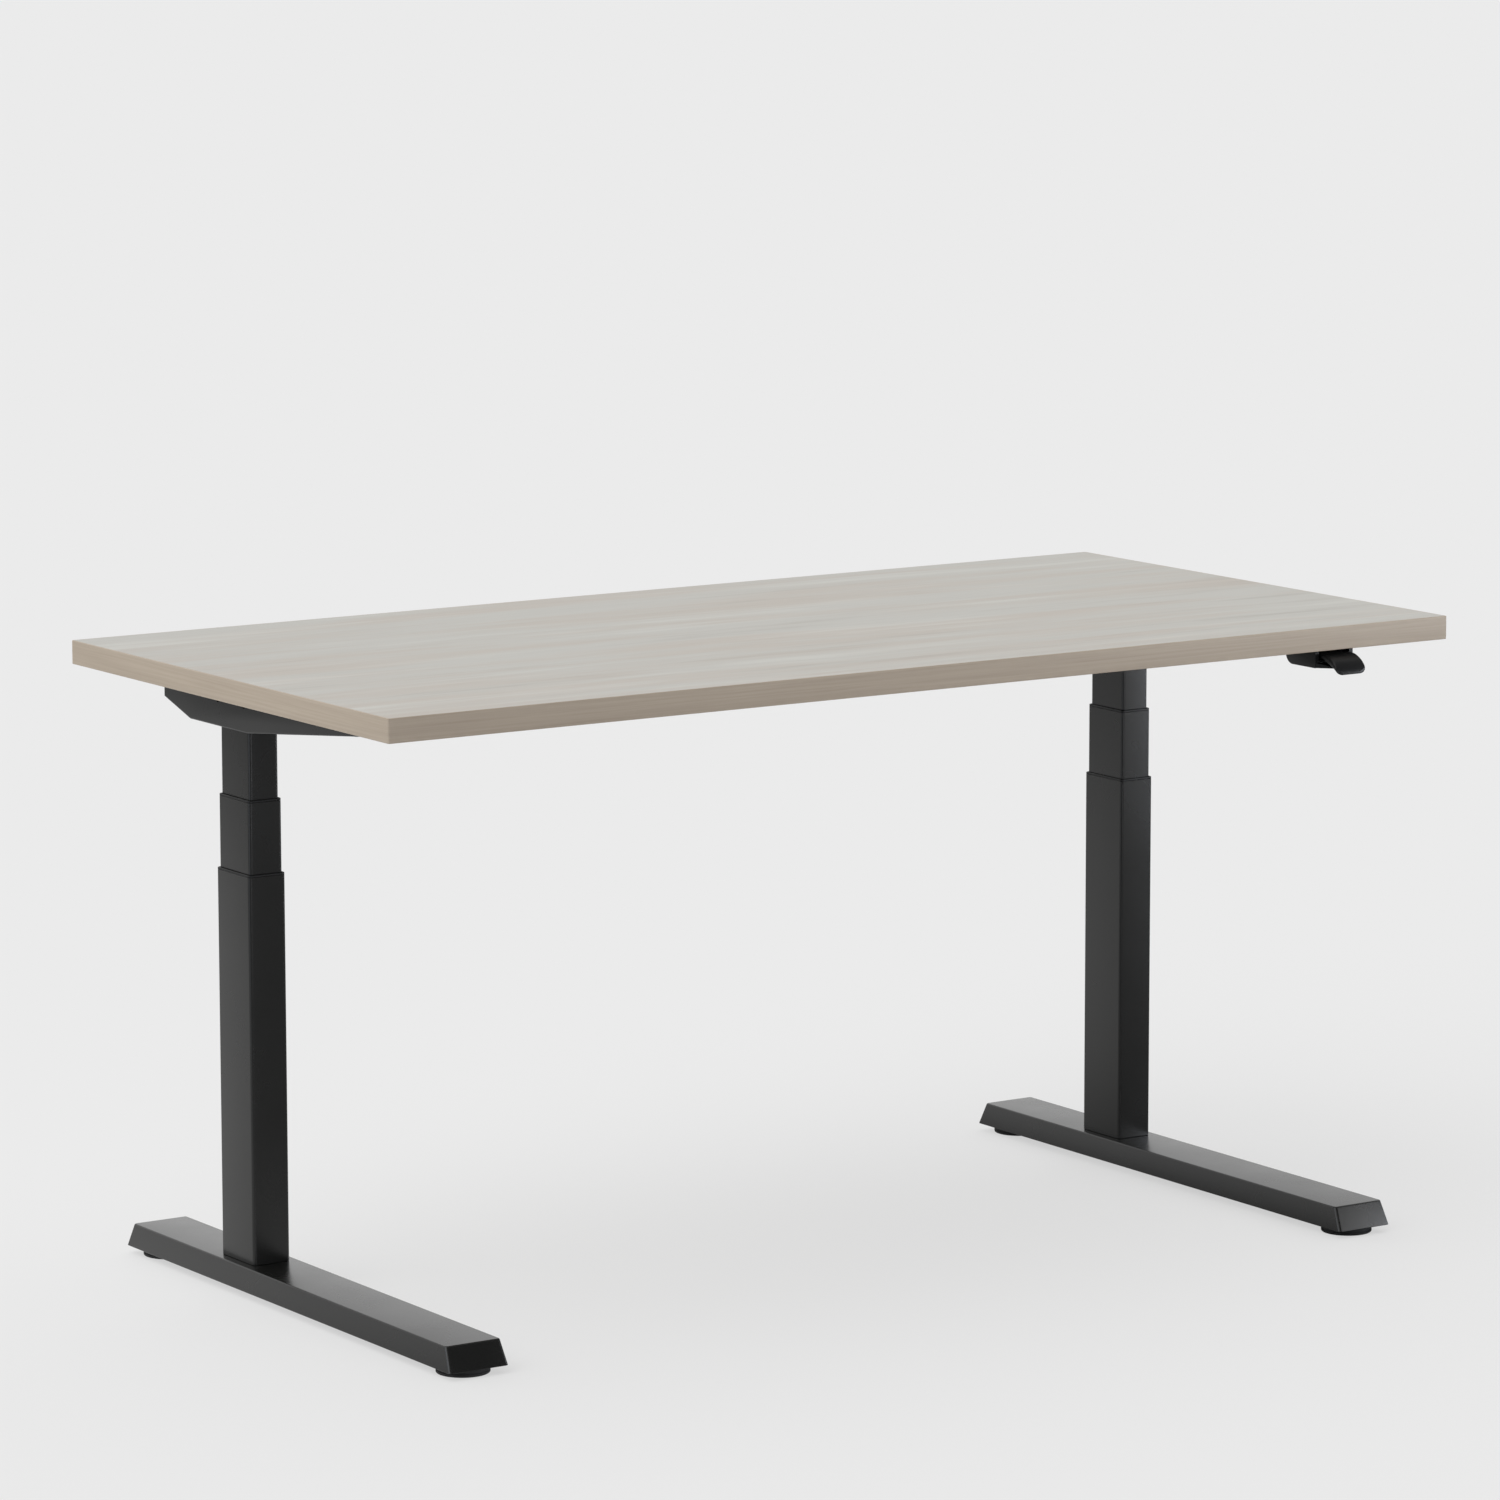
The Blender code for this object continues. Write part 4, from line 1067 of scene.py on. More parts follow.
# ---- Columns -------------------------------------------------------------------------------------------
@dataclass
class Column(Assembly):
    """A telescopic column: three tubes, two guide collars and the drive inside."""

    side: Side
    wall: float = 2 * MILLIMETRE
    corner: float = 4 * MILLIMETRE
    burr: float = 0.3 * MILLIMETRE
    lip: float = 1 * MILLIMETRE
    groove: float = 1.4 * MILLIMETRE
    groove_depth: float = 2 * MILLIMETRE
    running: float = 0.3 * MILLIMETRE
    screw_lead: float = 10 * MILLIMETRE
    screw_starts: int = 4
    thread_depth: float = 0.7 * MILLIMETRE
    bore_clearance: float = 0.8 * MILLIMETRE
    stand_wall: float = 4 * MILLIMETRE
    head_height: float = 12 * MILLIMETRE
    seam: float = 0.6 * MILLIMETRE
    cap: float = 8 * MILLIMETRE
    flash: float = 0.6 * MILLIMETRE
    draft: float = 1.2 * MILLIMETRE

    def build(self) -> list[bpy.types.Object]:
        """Builds the tubes, the collars and the drive.

        Returns:
            The pieces.
        """
        pieces = [self.tube(f"{stage}_tube_{self.side.label}") for stage in ("outer", "middle", "inner")]
        pieces += [self.collar("outer", "middle"), self.collar("middle", "inner")]
        pieces += [self.screw(), self.hollow_screw(), self.motor(), self.gearbox()]
        for part, surface in (("column_plate", Surface.BRIGHT_STEEL), ("stand_tube", Surface.BRIGHT_STEEL),
                              ("lift_tube", Surface.BRIGHT_STEEL), ("base_nut", Surface.BRONZE),
                              ("lift_nut", Surface.BRONZE)):
            dress_node(f"{part}_{self.side.label}", surface, self.palette)
        return pieces

    def section(self, node: str, levels: Iterable[tuple[float, float]]) -> list[Ring]:
        """Rings of a node's rounded section, moved in differently at each height."""
        size = span_of(node)
        return layered(size.x, size.y, self.corner, levels, 1 * MILLIMETRE, 10)

    def tube(self, node: str) -> bpy.types.Object:
        """One rolled and welded tube, with its sawn ends lightly deburred."""
        low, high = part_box(node)
        levels = chamfered(low.z, high.z, self.burr) + [(self.wall, high.z), (self.wall, low.z)]
        return self.seated(skin(f"{node}_profile", self.section(node, levels), through=True), Surface.POWDER_COAT,
                           node)

    def collar(self, stage: str, inside: str) -> bpy.types.Object:
        """The moulded collar that guides the next tube, with a rolled lip.

        Args:
            stage: the stage that carries the collar.
            inside: the stage that slides in it.

        Returns:
            The dressed piece.
        """
        node = f"{stage}_collar_{self.side.label}"
        low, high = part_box(node)
        floor = high.z - self.groove_depth
        rings = self.section(node, [(0.0, low.z)] + rim(high.z, self.lip))
        rings += self.section(f"{inside}_tube_{self.side.label}", (
            (-self.running - self.groove, high.z), (-self.running - self.groove, floor), (-self.running, floor),
            (-self.running, low.z)))
        return self.seated(skin(f"{node}_moulding", rings, through=True), Surface.PLASTIC, node)

    def screw(self) -> bpy.types.Object:
        """The lead screw, its four-start thread rolled on."""
        node = f"screw_{self.side.label}"
        low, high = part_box(node)
        rings = threaded((high.x - low.x) / 2, self.thread_depth, self.screw_lead, self.screw_starts, low.z, high.z)
        return self.seated(skin(f"lead_screw_{self.side.label}", rings), Surface.BRIGHT_STEEL, node)

    def hollow_screw(self) -> bpy.types.Object:
        """The hollow screw, threaded below the plain head that hangs in the lift tube."""
        node = f"hollow_screw_{self.side.label}"
        low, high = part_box(node)
        head = (high.x - low.x) / 2
        bore = span_of(f"screw_{self.side.label}").x / 2 + self.bore_clearance
        radius = span_of(f"stand_tube_{self.side.label}").x / 2 - self.stand_wall
        shoulder = high.z - self.head_height
        rings = threaded(radius, self.thread_depth, self.screw_lead, self.screw_starts, low.z, shoulder, 32)
        rings += lathe([(head - inwards, z) for inwards, z in chamfered(shoulder, high.z, self.burr)]
                       + [(bore, high.z), (bore, low.z)], 32)
        return self.seated(skin(f"hollow_lead_screw_{self.side.label}", rings, through=True),
                           Surface.BRIGHT_STEEL, node)

    def motor(self) -> bpy.types.Object:
        """The motor's can, with its rolled seams and the boss for its bearing."""
        node = f"motor_{self.side.label}"
        low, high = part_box(node)
        radius, seam = (high.x - low.x) / 2, self.seam
        boss = radius * 0.4
        profile = [(radius - seam, low.z), (radius, low.z + seam)]
        for z in (low.z + self.cap, high.z - self.cap):
            profile += [(radius, z - seam), (radius - seam, z), (radius, z + seam)]
        profile += [(radius, high.z - 3 * seam), (radius - 2 * seam, high.z - seam), (boss, high.z - seam),
                    (boss - seam / 2, high.z)]
        return self.seated(skin(f"motor_can_{self.side.label}", lathe(profile)), Surface.ZINC, node)

    def gearbox(self) -> bpy.types.Object:
        """The die-cast gearbox, its parting line standing slightly proud."""
        node = f"gearbox_{self.side.label}"
        low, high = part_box(node)
        middle, flash, draft = (low.z + high.z) / 2, self.flash, self.draft
        levels = ((draft, low.z), (draft / 2, low.z + draft), (flash, middle - flash), (0.0, middle - flash),
                  (0.0, middle + flash), (flash, middle + flash), (draft / 2, high.z - draft), (draft, high.z))
        return self.seated(skin(f"gearbox_casting_{self.side.label}", self.section(node, levels)),
                           Surface.ALUMINIUM, node)


# ---- Frame under the top -------------------------------------------------------------------------------
@dataclass
class SideBracket(Assembly):
    """A pressed channel over the top of a column, deepest there and shallow at its two ends."""

    side: Side
    wall: float = 2.5 * MILLIMETRE
    bend: float = 1.8 * MILLIMETRE
    flat_back: float = 102 * MILLIMETRE
    flat_front: float = 40 * MILLIMETRE
    back_depth: float = 38.5 * MILLIMETRE
    front_depth: float = 13 * MILLIMETRE
    hole: float = 4.5 * MILLIMETRE

    def outline(self, low: Vector, high: Vector) -> list[tuple[float, float]]:
        """The channel's side as (y, z) corners, anticlockwise, starting at the top at the back."""
        axis = middle_of(f"inner_tube_{self.side.label}").y
        return [(high.y, high.z), (low.y, high.z), (low.y, high.z - self.front_depth),
                (axis - self.flat_front, low.z), (axis + self.flat_back, low.z), (high.y, high.z - self.back_depth)]

    def build(self) -> list[bpy.types.Object]:
        """Builds the channel and its fixings.

        Returns:
            The pieces.
        """
        node = f"side_bracket_{self.side.label}"
        low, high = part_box(node)
        outline = self.outline(low, high)
        channel = self.pressing("bracket_channel", outline, low.x, high.x, self.bend)
        room = [(y, z + (self.wall * 4 if z == high.z else 0.0)) for y, z in
                inset(outline, [0.0] + [self.wall] * 5)]
        hollow = self.pressing("room", room, low.x + self.wall, high.x - self.wall, self.bend / 3)
        channel = cut(channel, [hollow, *(self.drill(rail) for rail in RAILS)])
        channel.name = f"bracket_channel_{self.side.label}"
        return [self.dressed(channel, Surface.POWDER_COAT, node), self.fixings(outline, low, high)]

    def pressing(self, name: str, outline: Sequence[tuple[float, float]], left: float, right: float,
                 bend: float) -> bpy.types.Object:
        """A solid of that side view between two planes, its lower edges bent round.

        Args:
            name: its name.
            outline: the side view's corners, the top edge first.
            left: the plane on the left.
            right: the plane on the right.
            bend: the radius of the bends.

        Returns:
            The solid.
        """
        levels = [(left + bend * across, bend * (1 - up)) for across, up in quarter(6)]
        levels += [(right - bend * across, bend * (1 - up)) for across, up in quarter(6)[::-1]]
        return skin(name, [[Vector((x, y, z)) for y, z in inset(outline, [0.0] + [inwards] * (len(outline) - 1))]
                           for x, inwards in levels])

    def drill(self, rail: str) -> bpy.types.Object:
        """The shape of the hole for one rail's bolt, through both sides of the channel."""
        bracket, place = f"side_bracket_{self.side.label}", middle_of(rail)
        reach = span_of(bracket).x
        return lay(skin("hole", lathe([(self.hole, -reach), (self.hole, reach)], 28)),
                   (middle_of(bracket).x, place.y, place.z))

    def fixings(self, outline: Sequence[tuple[float, float]], low: Vector, high: Vector) -> bpy.types.Object:
        """The bolts into the rails and the screws up into the tabletop."""
        middle = (low.x + high.x) / 2
        inner_face = middle + (-self.side.value) * ((high.x - low.x) / 2 - self.wall)
        places = [(Vector((inner_face, *middle_of(rail).yz)), Vector((self.side.value, 0, 0))) for rail in RAILS]
        for start, end, share in ((outline[2], outline[3], 0.10), (outline[2], outline[3], 0.45),
                                  (outline[4], outline[5], 0.62)):
            run = Vector((0, end[0] - start[0], end[1] - start[1]))
            spot = Vector((middle, start[0], start[1])) + share * run
            places.append((spot, Vector((0, run.z, -run.y)).normalized()))
        return BRACKET_SCREW.build(f"bracket_screws_{self.side.label}", places, self.palette,
                                   BODY_OF[f"side_bracket_{self.side.label}"])


@dataclass
class Rails(Assembly):
    """The two rectangular tubes that join the side brackets."""

    wall: float = 2 * MILLIMETRE
    corner: float = 3 * MILLIMETRE
    burr: float = 0.3 * MILLIMETRE

    def build(self) -> list[bpy.types.Object]:
        """Builds both rails.

        Returns:
            The two pieces.
        """
        pieces = []
        for node in RAILS:
            size = span_of(node)
            reach = size.x / 2
            levels = chamfered(-reach, reach, self.burr) + [(self.wall, reach), (self.wall, -reach)]
            rings = layered(size.z, size.y, self.corner, levels, 1 * MILLIMETRE)
            rail = lay(skin(f"{node}_profile", rings, through=True), middle_of(node))
            pieces.append(self.dressed(rail, Surface.POWDER_COAT, node))
        return pieces


# ---- Control box ---------------------------------------------------------------------------------------
@dataclass
class ControlBox(Assembly):
    """The box behind the rails that feeds both motors, with its lid, its mains inlet and its sockets."""

    wall: float = 2 * MILLIMETRE
    corner: float = 6 * MILLIMETRE
    fillet: float = 2.5 * MILLIMETRE
    gap: float = 0.3 * MILLIMETRE
    socket_radius: float = 6.5 * MILLIMETRE
    socket_pitch: float = 22 * MILLIMETRE
    socket_depth: float = 9 * MILLIMETRE
    pin_radius: float = 0.6 * MILLIMETRE
    screw_inset: tuple[float, float] = (12 * MILLIMETRE, 10 * MILLIMETRE)
    blade_pitch: float = 6 * MILLIMETRE
    blade_rise: float = 2 * MILLIMETRE
    blade_half: tuple[float, float] = (1 * MILLIMETRE, 2 * MILLIMETRE)
    blade_inset: float = 3 * MILLIMETRE

    def build(self) -> list[bpy.types.Object]:
        """Builds the box and what is fitted to it.

        Returns:
            The pieces.
        """
        low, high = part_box("control_box")
        body = BODY_OF["control_box"]
        middle = middle_of("control_box")
        case = shift(self.case(low, high), (middle.x, middle.y, 0.0))
        inlet_low, inlet_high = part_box("mains_inlet")
        margin = Vector((self.gap, self.gap, self.gap))
        window = block("window", inlet_low - margin - Vector((self.wall, 0, 0)), inlet_high + margin)
        places = [Vector((high.x, middle.y, middle.z)) + Vector((0, step * self.socket_pitch, 0))
                  for step in (-1, 0, 1)]
        hole = self.socket_radius + self.gap
        holes = [lay(skin("hole", lathe([(hole, -self.corner), (hole, self.corner)], 32)), spot) for spot in places]
        case = cut(case, [window, *holes])
        pieces = [self.dressed(case, Surface.PLASTIC, "control_box"),
                  self.seated(self.lid(), Surface.PLASTIC, "control_box_lid"),
                  self.dressed(self.inlet(inlet_low, inlet_high), Surface.PLASTIC, "mains_inlet"),
                  dress(self.inlet_pins(inlet_low, inlet_high), Surface.ZINC, self.palette, body),
                  dress(self.sockets(places), Surface.PLASTIC, self.palette, body),
                  dress(self.socket_pins(places), Surface.ZINC, self.palette, body)]
        centre = Vector((middle.x, middle.y, low.z))
        pieces.append(CoolingRibs().build("cooling_ribs", centre, Surface.PLASTIC, self.palette, body))
        reach = Vector(((high.x - low.x) / 2 - self.screw_inset[0], (high.y - low.y) / 2 - self.screw_inset[1], 0))
        corners = [(centre + Vector((sx * reach.x, sy * reach.y, 0)), DOWN) for sx in (-1, 1) for sy in (-1, 1)]
        pieces.append(BOX_SCREW.build("control_box_screws", corners, self.palette, body))
        return pieces

    def case(self, low: Vector, high: Vector) -> bpy.types.Object:
        """The open-topped case, its bottom edge rounded."""
        levels = [(self.wall, low.z + self.wall), (self.wall, high.z), (0.0, high.z)] + rim(low.z, -self.fillet)
        return skin("control_box_case", layered(high.x - low.x, high.y - low.y, self.corner, levels))

    def lid(self) -> bpy.types.Object:
        """The flat lid against the tabletop."""
        low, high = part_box("control_box_lid")
        levels = chamfered(low.z, high.z, 0.5 * MILLIMETRE)
        return skin("control_box_cover", layered(high.x - low.x, high.y - low.y, self.corner, levels))

    def inlet(self, low: Vector, high: Vector) -> bpy.types.Object:
        """The mains inlet's socket, open towards the box's end."""
        shape = ease(block("mains_inlet_socket", low, high), 0.6 * MILLIMETRE, 2)
        wall = 2 * self.wall
        room = block("room", (low.x - wall, low.y + wall, low.z + wall),
                     (high.x - wall, high.y - wall, high.z - wall))
        return cut(shape, [room])

    def inlet_pins(self, low: Vector, high: Vector) -> bpy.types.Object:
        """The three flat pins in the mains inlet."""
        middle = (low + high) / 2
        depth = high.x - 2 * self.wall
        pins = []
        for across, up in ((-1, -1), (0, 1), (1, -1)):
            spot = Vector((0, middle.y + across * self.blade_pitch, middle.z + up * self.blade_rise))
            half = Vector((0, *self.blade_half))
            start = Vector((low.x + self.blade_inset, 0, 0))
            pins.append(block("pin", start + spot - half, Vector((depth, 0, 0)) + spot + half))
        return ease(merge("mains_inlet_pins", pins), 0.3 * MILLIMETRE, 2)

    def sockets(self, places: Sequence[Vector]) -> bpy.types.Object:
        """The round sockets for the two motors' leads and the handset's lead."""
        radius, depth, wall, gap = self.socket_radius, self.socket_depth, 1 * MILLIMETRE, self.gap
        profile = [(radius, -depth), (radius, -gap), (radius - gap, 0.0), (radius - wall, 0.0),
                   (radius - wall, wall - depth)]
        return merge("lead_sockets", [lay(skin("cup", lathe(profile, 32)), spot) for spot in places])

    def socket_pins(self, places: Sequence[Vector]) -> bpy.types.Object:
        """The contact pins in the round sockets."""
        pins = []
        low, high = -self.socket_depth + self.pin_radius, -self.socket_depth / 2
        reach = self.socket_radius * 0.5
        for spot in places:
            for index in range(7):
                turn = 2 * math.pi * (index + 0.5) / 8
                pin = skin("pin", lathe([(self.pin_radius, low), (self.pin_radius, high),
                                         (self.pin_radius / 2, high + self.pin_radius)], 10))
                pins.append(lay(shift(pin, (-reach * math.cos(turn), reach * math.sin(turn), 0)), spot))
        return merge("lead_socket_pins", pins)


# ---- Handset -------------------------------------------------------------------------------------------
@dataclass
class Handset(Assembly):
    """The switch under the front edge: a small box, its shelf, and the paddle that the user tips up or down."""

    wall: float = 2 * MILLIMETRE
    edge: float = 0.7 * MILLIMETRE
    back_radius: float = 14 * MILLIMETRE
    shelf_reach: float = 14.9 * MILLIMETRE
    shelf_root_inset: float = 3 * MILLIMETRE
    shelf_tip_inset: float = 17.5 * MILLIMETRE
    shelf_back_height: float = 5.8 * MILLIMETRE
    shelf_front_height: float = 2 * MILLIMETRE
    root_width: float = 37 * MILLIMETRE
    lip_left: float = 20.2 * MILLIMETRE
    lip_right: float = 25.5 * MILLIMETRE
    paddle_thickness: float = 6 * MILLIMETRE
    swing: float = 2.5 * MILLIMETRE
    running: float = 0.8 * MILLIMETRE
    burr: float = 0.2 * MILLIMETRE
    tip_gap: float = 0.2 * MILLIMETRE
    bore_clearance: float = 0.3 * MILLIMETRE
    bore_reach: float = 50 * MILLIMETRE

    def build(self) -> list[bpy.types.Object]:
        """Builds the housing, the paddle and its pin.

        Returns:
            The pieces.
        """
        pieces = [self.dressed(self.housing(), Surface.PLASTIC, "handset_housing"),
                  self.dressed(self.paddle(), Surface.PLASTIC, "handset_paddle"),
                  self.dressed(self.pin(), Surface.ZINC, "paddle_pin")]
        dress_node("handset_cover", Surface.PLASTIC, self.palette)
        dress_node("handset_circuit_board", Surface.CIRCUIT_BOARD, self.palette)
        return pieces

    def rear(self, low: Vector, high: Vector, inwards: float) -> list[tuple[float, float]]:
        """The housing's rounded lower corner at the back, moved in, as (y, z) from the bottom up."""
        radius = self.back_radius - inwards
        return [(high.y - inwards - radius * (1 - up), low.z + inwards + radius * across)
                for across, up in quarter(12)]

    def housing(self) -> bpy.types.Object:
        """The moulded housing: a box with a rounded back, and a tapered shelf in front under the paddle."""
        low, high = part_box("handset_housing")
        front, above = low.y + self.shelf_reach, high.z + self.wall
        side_view = [(front, high.z), (front, low.z + self.shelf_back_height),
                     (low.y, low.z + self.shelf_front_height), (low.y, low.z)]
        side_view += self.rear(low, high, 0.0) + [(high.y, high.z)]
        housing = extruded("handset_moulding", side_view, low.x, high.x)
        past = self.shelf_tip_inset
        for side, inwards in ((low.x, 1), (high.x, -1)):
            taper = [(side - inwards * past, front), (side + inwards * self.shelf_root_inset, front),
                     (side + inwards * past, low.y), (side + inwards * past, low.y - past),
                     (side - inwards * past, low.y - past)]
            cut(housing, [extruded("shelf_side", taper, low.z - past, above, along_x=False)])
        ease(housing, self.edge, 3, 30.0)
        inside = front + self.wall
        room = [(inside, above), (inside, low.z + self.wall)] + self.rear(low, high, self.wall)
        room += [(high.y - self.wall, above)]
        axis_x = (low.x + high.x + self.lip_left - self.lip_right) / 2
        bottom = middle_of("paddle_pin").z - self.paddle_thickness / 2 - self.swing
        slot = block("slot", (axis_x - self.lip_left - self.running, front - self.wall, bottom),
                     (axis_x + self.lip_right + self.running, inside + self.wall, above))
        return cut(housing, [extruded("room", room, low.x + self.wall, high.x - self.wall), slot])

    def paddle(self) -> bpy.types.Object:
        """The paddle: a flat root on the pin that swells and curves down into a wide rounded lip."""
        pin_low, pin_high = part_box("paddle_pin")
        pin = (pin_low + pin_high) / 2
        low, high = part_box("handset_paddle")
        axis_x = (low.x + high.x + self.lip_left - self.lip_right) / 2
        run, fall = pin.y - low.y, pin.z - low.z - self.tip_gap
        flesh = self.paddle_thickness / 2 / fall
        narrow_left, narrow_right = self.root_width / 2 / self.lip_left, self.root_width / 2 / self.lip_right
        # (share of the run, top and bottom as shares of the fall, spread left and right as shares of the lip's)
        root = (-flesh, flesh, narrow_left, narrow_right)
        stations = ((-0.12, *root), (0.0, *root), (0.20, *root), (0.34, -0.155, flesh, 0.97, 0.9),
                    (0.42, -0.155, 0.175, 1.0, 0.97), (0.55, -0.15, 0.34, 1.0, 0.99),
                    (0.673, -0.08, 0.483, 1.0, 1.0), (0.818, 0.135, 0.652, 1.0, 1.0), (0.90, 0.37, 0.76, 1.0, 1.0),
                    (0.945, 0.56, 0.845, 0.98, 0.98), (0.978, 0.72, 0.935, 0.86, 0.85),
                    (0.995, 0.83, 0.975, 0.68, 0.65), (1.0, 0.875, 0.955, 0.55, 0.52))
        rings = []
        for along, over, under, left_share, right_share in self.smoothed(stations, 4):
            height = (under - over) * fall
            left, right = -left_share * self.lip_left, right_share * self.lip_right
            ring = rounded(right - left, height, height * 0.42, 0.0, 6)
            rings.append([Vector((axis_x + (left + right) / 2 + point.x, pin.y - along * run,
                                  pin.z + point.y - (over + under) / 2 * fall)) for point in ring])
        paddle = skin("handset_tongue", rings)
        hole = (pin_high.z - pin_low.z) / 2 + self.bore_clearance
        bore = lathe([(hole, -self.bore_reach), (hole, self.bore_reach)], 20)
        return cut(paddle, [lay(skin("bore", bore), pin)])

    @staticmethod
    def smoothed(stations: Sequence[Sequence[float]], steps: int) -> list[list[float]]:
        """Stations joined by a smooth curve.

        Args:
            stations: the shares of each.
            steps: how many stations replace each one.

        Returns:
            The closer stations.
        """
        closer = []
        for index, (start, end) in enumerate(zip(stations, stations[1:])):
            before, after = stations[max(index - 1, 0)], stations[min(index + 2, len(stations) - 1)]
            for step in range(steps):
                t = step / steps
                closer.append([0.5 * (2 * b + (c - a) * t + (2 * a - 5 * b + 4 * c - d) * t * t
                                      + (3 * b - a - 3 * c + d) * t ** 3)
                               for a, b, c, d in zip(before, start, end, after)])
        return closer + [list(stations[-1])]

    def pin(self) -> bpy.types.Object:
        """The steel pin that the paddle tips on."""
        size = span_of("paddle_pin")
        profile = [(size.z / 2 - inwards, z) for inwards, z in chamfered(-size.x / 2, size.x / 2, self.burr)]
        return lay(skin("paddle_pivot", lathe(profile, 20)), middle_of("paddle_pin"))


# ---- Studio --------------------------------------------------------------------------------------------
@dataclass
class SoftLight:
    """A square soft box that lights the desk and not the floor."""

    name: str
    place: tuple[float, float, float]
    target: tuple[float, float, float]
    size: float
    power: float
    tint: str = "ffffff"


@dataclass
class Studio:
    """A pale floor without an edge, soft light all round, and the camera."""

    floor_size: float = 160.0
    backdrop: str = "ebebeb"
    paper: float = 0.262
    glow: float = 0.70
    glow_centre: tuple[float, float, float] = (-1.4, 1.4, 0.0)
    glow_radius: float = 1.4
    glow_reach: float = 1.9
    far_glow: float = 0.1
    bright_side: tuple[float, float, float] = (-0.25, 0.75, 0.61)
    dim_edge: float = -0.25
    bright_edge: float = 0.75
    dim: float = 0.1
    bright: float = 1.15
    sun_energy: float = 0.75
    sun_angle: float = 55.0
    sun_aim: tuple[float, float, float] = (1.0, 0.35, -1.1)
    camera_place: tuple[float, float, float] = (-4.4874, -6.7782, 1.9033)
    yaw: float = -0.5821
    pitch: float = 0.1561
    roll: float = -0.0013
    lens: float = 160.2
    sensor: float = 36.0
    farthest: float = 500.0

    def build(self) -> None:
        """Builds the floor, the lights and the camera."""
        self.floor()
        self.sky_light()
        self.sun()
        self.camera()
        bpy.context.scene.view_settings.view_transform = "Standard"

    def floor(self) -> bpy.types.Object:
        """The floor, which glows so that shadows on it stay light; mirrored in the desk, it darkens far away."""
        half = self.floor_size / 2
        mesh = bpy.data.meshes.new("floor")
        mesh.from_pydata([(-half, -half, 0), (half, -half, 0), (half, half, 0), (-half, half, 0)], [],
                         [(0, 1, 2, 3)])
        floor = add_object("floor", mesh)
        material = bpy.data.materials.new("SeamlessPaper")
        material.use_nodes = True
        tree = material.node_tree
        shader = tree.nodes["Principled BSDF"]
        shader.inputs["Roughness"].default_value = 0.9
        shader.inputs["Specular IOR Level"].default_value = 0.0
        shader.inputs["Emission Color"].default_value = linear(self.backdrop)
        place = add_node(tree, "ShaderNodeTexCoord").outputs["Object"]
        away = add_node(tree, "ShaderNodeVectorMath", {0: place, 1: self.glow_centre}, operation="DISTANCE")
        mirrored = add_node(tree, "ShaderNodeMapRange", {"Value": away.outputs["Value"], "From Min": self.glow_radius,
                                                         "From Max": self.glow_reach * self.glow_radius,
                                                         "To Min": self.glow, "To Max": self.far_glow * self.glow},
                            interpolation_type="SMOOTHSTEP")
        seen = add_node(tree, "ShaderNodeLightPath").outputs["Is Camera Ray"]
        glow = add_node(tree, "ShaderNodeMix", {0: seen, 2: mirrored.outputs[0], 3: self.glow})
        tree.links.new(glow.outputs[0], shader.inputs["Emission Strength"])
        fibres = add_node(tree, "ShaderNodeTexNoise", {"Vector": place, "Scale": 900.0, "Detail": 1.0})
        paper = add_node(tree, "ShaderNodeMix", {0: fibres.outputs["Fac"], 6: (*[self.paper - 0.002] * 3, 1.0),
                                                 7: (*[self.paper + 0.002] * 3, 1.0)}, data_type="RGBA")
        tree.links.new(paper.outputs[2], shader.inputs["Base Color"])
        floor.data.materials.append(material)
        return floor

    def sky_light(self) -> None:
        """Soft light from all round: bright behind, above and to the left, and dim in front and to the right.

        Seen directly, the sky has the floor's tone.
        """
        world = bpy.data.worlds.new("studio")
        bpy.context.scene.world = world
        world.use_nodes = True
        tree = world.node_tree
        shader = tree.nodes["Background"]
        place = add_node(tree, "ShaderNodeTexCoord").outputs["Generated"]
        facing = add_node(tree, "ShaderNodeVectorMath", {0: place, 1: self.bright_side}, operation="DOT_PRODUCT")
        share = add_node(tree, "ShaderNodeMapRange", {"Value": facing.outputs["Value"], "From Min": self.dim_edge,
                                                      "From Max": self.bright_edge}, interpolation_type="SMOOTHSTEP")
        light = add_node(tree, "ShaderNodeMix", {0: share.outputs[0], 6: (self.dim, self.dim, self.dim, 1.0),
                                                 7: (self.bright, self.bright, self.bright, 1.0)}, data_type="RGBA")
        seen = add_node(tree, "ShaderNodeLightPath").outputs["Is Camera Ray"]
        colour = add_node(tree, "ShaderNodeMix", {0: seen, 6: light.outputs[2], 7: linear(self.backdrop)},
                          data_type="RGBA")
        tree.links.new(colour.outputs[2], shader.inputs["Color"])

    def sun(self) -> bpy.types.Object:
        """A very wide, weak light from the upper left, whose shadows are soft."""
        light = bpy.data.lights.new("high_left", "SUN")
        light.energy = self.sun_energy
        light.angle = math.radians(self.sun_angle)
        lamp = add_object("high_left", light)
        lamp.rotation_euler = Vector(self.sun_aim).to_track_quat("-Z", "Y").to_euler()
        return lamp

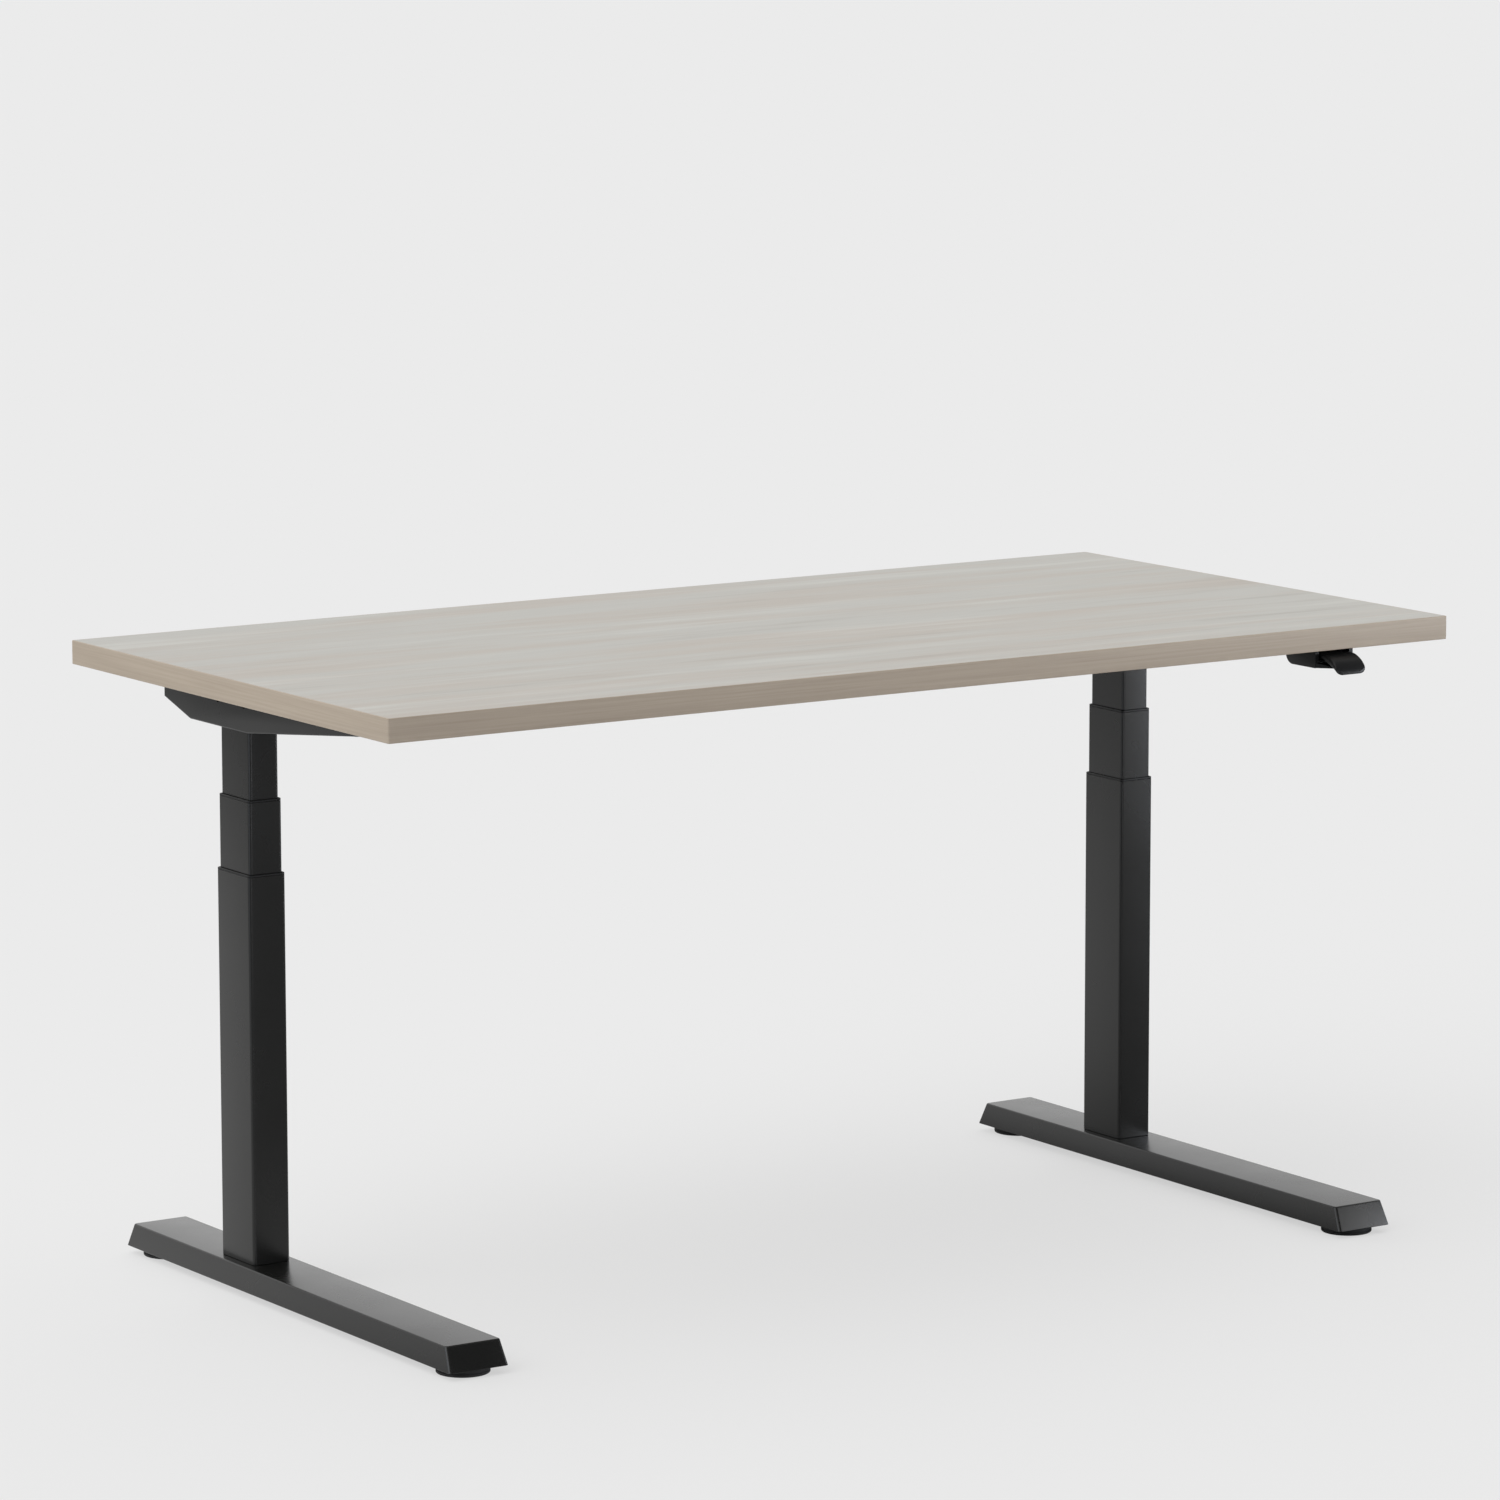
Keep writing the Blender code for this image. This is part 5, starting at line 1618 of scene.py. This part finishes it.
    def soft_boxes(self, lights: Sequence[SoftLight], pieces: Sequence[bpy.types.Object]) -> None:
        """The soft boxes, which light only the desk so that the floor stays even.

        Args:
            lights: where they are and how strong.
            pieces: everything that they light.
        """
        lit = bpy.data.collections.new("lit_by_soft_boxes")
        for piece in pieces:
            lit.objects.link(piece)
        for entry in lights:
            light = bpy.data.lights.new(entry.name, "AREA")
            light.shape = "SQUARE"
            light.size = entry.size
            light.energy = entry.power
            light.color = linear(entry.tint)[:3]
            lamp = add_object(entry.name, light)
            lamp.location = entry.place
            aim = Vector(entry.target) - Vector(entry.place)
            lamp.rotation_euler = aim.to_track_quat("-Z", "Y").to_euler()
            lamp.light_linking.receiver_collection = lit

    def camera(self) -> bpy.types.Object:
        """The camera, a long lens slightly above the tabletop, in front and to the left."""
        data = bpy.data.cameras.new("camera")
        data.lens = self.lens
        data.sensor_width = self.sensor
        data.clip_end = self.farthest
        camera = add_object("camera", data)
        forward = Vector((-math.sin(self.yaw) * math.cos(self.pitch), math.cos(self.yaw) * math.cos(self.pitch),
                          -math.sin(self.pitch)))
        right = Vector((math.cos(self.yaw), math.sin(self.yaw), 0))
        up = right.cross(forward)
        right, up = (math.cos(self.roll) * right + math.sin(self.roll) * up,
                     math.cos(self.roll) * up - math.sin(self.roll) * right)
        turn = Matrix((right, up, -forward)).transposed().to_4x4()
        camera.matrix_world = Matrix.Translation(self.camera_place) @ turn
        bpy.context.scene.camera = camera
        return camera


def main() -> None:
    """Builds the desk and its studio."""
    logging.basicConfig(level=logging.INFO, format="%(name)s: %(message)s")
    palette = build_palette()
    pieces = Tabletop(palette).build()
    for side in Side:
        pieces += Foot(palette, side).build()
        pieces += Column(palette, side).build()
        pieces += SideBracket(palette, side).build()
    pieces += Rails(palette).build()
    pieces += ControlBox(palette).build()
    pieces += Handset(palette).build()
    studio = Studio()
    studio.build()
    studio.soft_boxes((SoftLight("left_box", (-3.2, -0.6, 0.9), (-0.6, 0.0, 0.4), 2.2, 20.0, "e6f0ff"),
                       SoftLight("right_front_box", (2.1, -1.9, 1.05), (0.65, -0.3, 0.2), 0.7, 4.0),
                       SoftLight("right_low_box", (2.1, -2.1, 0.5), (0.65, 0.1, 0.4), 0.9, 2.5),
                       SoftLight("front_box", (-0.3, -4.3, 0.9), (0.0, -0.3, 0.5), 2.0, 42.0, "f6f8ff"),
                       SoftLight("front_fill", (3.7, -2.3, 0.85), (0.5, -0.3, 0.7), 1.3, 58.0, "eff5ff")),
                      pieces + [node for node in frame["nodes"].values() if not node.hide_render])
    LOG.info("%d pieces built", len(pieces))


if __name__ == "__main__":
    main()
